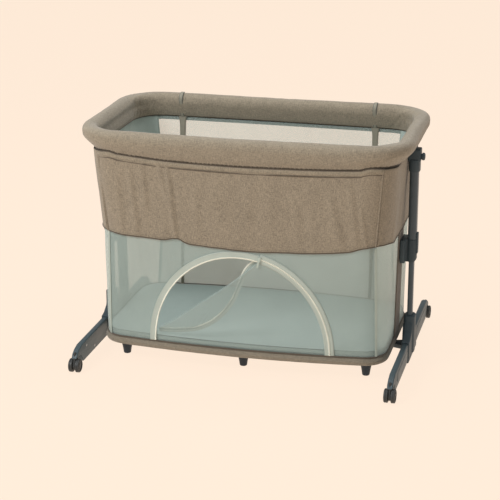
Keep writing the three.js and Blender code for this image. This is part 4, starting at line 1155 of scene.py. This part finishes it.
# ---------- Posts, collars, brackets ----------
def rounded_loop(width, depth, corner, per=7):
    points = []
    for k, (cx, cy) in enumerate(((1, 1), (-1, 1), (-1, -1), (1, -1))):
        for a in np.linspace(0, math.pi / 2, per):
            turn = a + k * math.pi / 2
            points.append((cx * (width / 2 - corner) + corner * math.cos(turn),
                           cy * (depth / 2 - corner) + corner * math.sin(turn)))
    return np.array(points)


def outer_post(mats, side):
    """A rounded rectangular tube in the CAD post's place, with eased ends."""
    node = "outer_post_" + side
    low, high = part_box(node)
    width, depth = high.x - low.x, high.y - low.y
    centre = [(high.x + low.x) / 2, (high.y + low.y) / 2]
    thick, ease, corner = 1.8 * MM, 0.5 * MM, 9 * MM
    rows = []
    for inset, z in ((ease, low.z), (0, low.z + ease), (0, high.z - ease), (ease, high.z),
                     (thick - ease, high.z), (thick, high.z - ease), (thick, low.z + ease),
                     (thick - ease, low.z)):
        loop = rounded_loop(width - 2 * inset, depth - 2 * inset, corner - inset)
        rows.append(np.concatenate([loop + centre, np.full((len(loop), 1), z)], 1))
    mesh = grid_mesh(node + "_finished", np.stack(rows, 1), True, True)
    body = body_of(frame["nodes"][node])[0]
    obj = add_object(node + "_finished", mesh, mats["tube"], body)
    mesh.set_sharp_from_angle(angle=math.radians(40))
    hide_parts(node)


def knob(mats, side):
    node = f"top_knob_{side}"
    low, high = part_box(node)
    sign = 1 if side == "right" else -1
    zc = (low.z + high.z) / 2
    radius = (high.z - low.z) / 2
    outer = high.x if sign > 0 else -low.x
    inner = low.x if sign > 0 else -high.x
    reach = outer - inner
    profile = [(0.0005, inner), (radius - 3.2 * MM, inner), (radius - 3.2 * MM, outer - 9 * MM),
               (radius - 0.8 * MM, outer - 8.6 * MM), (radius, outer - 7.6 * MM), (radius, outer - 4.6 * MM)]
    for a in np.linspace(15, 75, 5):
        t = math.radians(a)
        profile.append((radius - 4.0 * MM * (1 - math.cos(t)), outer - 4.6 * MM + 3.8 * MM * math.sin(t)))
    profile += [(radius * 0.52, outer - 0.5 * MM), (radius * 0.47, outer - 1.3 * MM),
                (radius * 0.4, outer - 0.9 * MM), (radius * 0.2, outer - 0.1 * MM), (0.0005, outer)]
    body = f"knob_{side}"
    obj = turned(body + "_finished", profile, (0, 0, zc), mats["plastic"], body, flip=sign)
    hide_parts(node)


def wheels(mats, place, x_side):
    for kind in ("outer", "inner"):
        node = f"wheel_{kind}_{place}"
        low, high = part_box(node)
        radius = (high.z - low.z) / 2
        zc, yc = (high.z + low.z) / 2, (high.y + low.y) / 2
        away = x_side if kind == "outer" else -x_side
        centre_x = x_side * STAND_X
        far = (high.x - centre_x) if away > 0 else (centre_x - low.x)
        near = far - 12.5 * MM
        m = MM
        profile = [
            (0.0005, 0.2 * m), (2.5 * m, 0.2 * m), (2.5 * m, near), (radius - 3 * m, near),
            (radius - 1 * m, near + 0.7 * m), (radius, near + 2.2 * m), (radius, near + 5.2 * m),
            (radius - 0.7 * m, near + 5.7 * m), (radius - 0.7 * m, near + 6.7 * m), (radius, near + 7.2 * m),
            (radius, far - 3 * m), (radius - 0.9 * m, far - 1.2 * m), (radius - 2.6 * m, far - 0.2 * m),
            (radius - 4.2 * m, far), (radius - 5.2 * m, far - 0.5 * m), (radius - 6 * m, far - 2.2 * m),
            (radius - 11.5 * m, far - 2.6 * m), (radius - 12.2 * m, far - 1.4 * m), (4.6 * m, far - 1.1 * m),
            (2.2 * m, far - 1.3 * m), (0.0005, far - 1.4 * m),
        ]
        obj = turned(f"{node}_finished", profile, (centre_x, yc, zc), mats["wheel"], f"wheels_{place}",
                     sides=64, flip=away)
        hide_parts(node)


def basket_foot(mats, node):
    low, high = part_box(node)
    top, shoulder, tip, round_off = high.z, (high.x - low.x) / 2, 11 * MM, 3 * MM
    profile = [(0.0005, low.z)]
    profile += [(tip - round_off + round_off * math.sin(t), low.z + round_off * (1 - math.cos(t)))
                for t in np.linspace(0, math.pi / 2, 6)]
    profile += [(tip + 1.2 * MM, low.z + 12 * MM), (tip + 3 * MM, low.z + 22 * MM),
                (shoulder - 1.2 * MM, low.z + 30 * MM), (shoulder, low.z + 36 * MM),
                (shoulder, top - 0.5 * MM), (shoulder - 0.5 * MM, top), (0.0005, top)]
    centre = ((low.x + high.x) / 2, (low.y + high.y) / 2, 0)
    obj = turned(f"{node}_finished", profile, centre, mats["foot"], "basket", axis="z")
    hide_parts(node)


def leg_panel(mats, node, body, sign):
    """The slim raised panel along the leg's outer face, and the screws in its inner face."""
    low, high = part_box(node)
    forward = 1 if high.y > 0.2 else -1
    outer, inner = (high.x, low.x) if sign > 0 else (low.x, high.x)
    y0, y1 = 90 * MM, 268 * MM
    z0, z1 = low.z + 13 * MM, high.z - 13 * MM
    half_length, half_height, corner = (y1 - y0) / 2, (z1 - z0) / 2, 9 * MM
    centre = np.array([(y0 + y1) / 2 * forward, (z0 + z1) / 2])
    rows = []
    for inset, height in ((0, -0.5 * MM), (0, 0.5 * MM), (0.5 * MM, 0.9 * MM), (2.5 * MM, 1.0 * MM)):
        ring = rounded_loop(2 * (half_length - inset), 2 * (half_height - inset), corner - inset, 6) + centre
        rows.append(np.concatenate([np.full((len(ring), 1), outer + sign * height), ring], 1))
    solid(f"{node}_panel", np.stack(rows, 1), True, False, mats["leg"], body, 40)
    profile = [(0.0005, 0.9 * MM), (1.2 * MM, 0.9 * MM), (1.4 * MM, 0.5 * MM), (1.6 * MM, 1.0 * MM),
               (3.2 * MM, 0.8 * MM), (3.8 * MM, 0.2 * MM), (3.8 * MM, -0.4 * MM)]
    for k, (y, z) in enumerate(((269, 55), (200, 28))):
        place = (inner, y * MM * forward, z * MM)
        turned(f"{node}_screw_{k}", profile, place, mats["steel"], body, sides=20, flip=-sign)


# ---------- Floor, lights, camera ----------
def floor():
    bpy.ops.mesh.primitive_circle_add(vertices=96, radius=60.0, fill_type="NGON", location=(0, 0, -0.0006))
    obj = bpy.context.object
    obj.name = "studio_floor"
    g = Graph("studio_floor_paint")
    g.set(Emission_Color=(1.0, 0.832, 0.687, 1.0), Emission_Strength=0.965)
    g.set(Base_Color=(0.05, 0.042, 0.035, 1.0), Roughness=1.0, Specular_IOR_Level=0.0)
    obj.data.materials.append(g.material)


def area_light(name, place, target, size, power):
    data = bpy.data.lights.new(name, "AREA")
    data.shape = "DISK"
    data.size = size
    data.energy = power
    obj = bpy.data.objects.new(name, data)
    bpy.context.scene.collection.objects.link(obj)
    obj.location = place
    obj.rotation_euler = (Vector(target) - Vector(place)).to_track_quat("-Z", "Y").to_euler()


def studio():
    scene = bpy.context.scene
    world = bpy.data.worlds.new("studio")
    scene.world = world
    world.use_nodes = True
    background = world.node_tree.nodes["Background"]
    background.inputs["Color"].default_value = (1.0, 0.985, 0.96, 1.0)
    background.inputs["Strength"].default_value = 0.42
    scene.view_settings.view_transform = "Standard"
    area_light("key", (-2.1, -2.9, 3.0), (0, 0, 0.4), 1.7, 118)
    area_light("fill", (1.4, -3.7, 1.3), (0, 0, 0.35), 2.2, 6)
    area_light("top", (0.0, 0.3, 3.4), (0, 0, 0.6), 1.8, 46)


def camera():
    az, el = math.radians(14.0), math.radians(18.2)
    distance = 4.7806
    target = Vector((-0.02456, 0.0, 0.2958))
    back = Vector((math.sin(az) * math.cos(el), -math.cos(az) * math.cos(el), math.sin(el)))
    data = bpy.data.cameras.new("view")
    data.lens = 115.56
    data.sensor_width = 36.0
    data.clip_end = 200.0
    obj = bpy.data.objects.new("view", data)
    bpy.context.scene.collection.objects.link(obj)
    obj.location = target + back * distance
    obj.rotation_euler = (-back).to_track_quat("-Z", "Y").to_euler()
    bpy.context.scene.camera = obj


def cover_cad(mats):
    """Gives the CAD nodes that stay in view their finished materials."""
    keep = {
        "rim_frame_tube": "tube", "base_frame_tube": "tube", "floor_board": "board",
        "latch_pin_right": "steel", "latch_pin_left": "steel",
    }
    for node, key in keep.items():
        for place in frame["nodes"][node].material_slots:
            place.material = mats[key]


def main():
    mats = make_materials()
    cover_cad(mats)
    camera()
    studio()
    floor()
    rim_cover(mats)
    rim_trim(mats)
    for side, stretch in (("front", FRONT), ("right", RIGHT), ("left", LEFT)):
        skirt(mats, f"{side}_skirt_cloth", *stretch, f"{side}_skirt")
    zip_band(mats)
    for station, name in ((FRONT[1], "front_right"), (FRONT[0], "front_left")):
        corner_seam(mats, station, name)
        wall_binding(mats, station, f"{name}_binding")
    for station, name in ((RIGHT[1], "back_right"), (LEFT[0], "back_left")):
        wall_binding(mats, station, f"{name}_binding", high=Z_TOP)
    front_net(mats)
    # The end and back walls take brighter copies of the mesh colour: painted light.
    walls = (("right", RIGHT, "end_net_painted_light"), ("left", LEFT, "end_net_painted_light"), ("back", BACK, "window"))
    for side, stretch, kind in walls:
        add_net(mats, f"{side}_mesh", net_sheet(*stretch), f"{side}_mesh_wall", kind)
    door_panel(mats)
    door_flap(mats)
    arch_tape(mats)
    end_strip(mats, "right", 1, 2)
    end_strip(mats, "left", -1, 6)
    back_strap(mats, "left", -0.302)
    back_strap(mats, "right", 0.302)
    base_band(mats)
    mattress(mats)
    for a in ("front", "back"):
        for b in ("left", "middle", "right"):
            basket_foot(mats, f"foot_{a}_{b}")
    for side, sign in (("right", 1), ("left", -1)):
        outer_post(mats, side)
        refined(f"inner_post_{side}", mats["tube"], 0.0)
        refined(f"collar_{side}", mats["collar"], 0.8 * MM)
        refined(f"release_lever_{side}", mats["plastic"], 0.8 * MM)
        refined(f"top_bracket_{side}", mats["plastic"], 0.9 * MM)
        refined(f"hub_{side}", mats["plastic"], 1.0 * MM)
        knob(mats, side)
        for end in ("front", "back"):
            place = f"{end}_{side}"
            refined(f"leg_{place}", mats["leg"], 0.8 * MM)
            leg_panel(mats, f"leg_{place}", f"{side}_stand", sign)
            refined(f"caster_body_{place}", mats["wheel"], 0.4 * MM)
            wheels(mats, place, sign)


main()
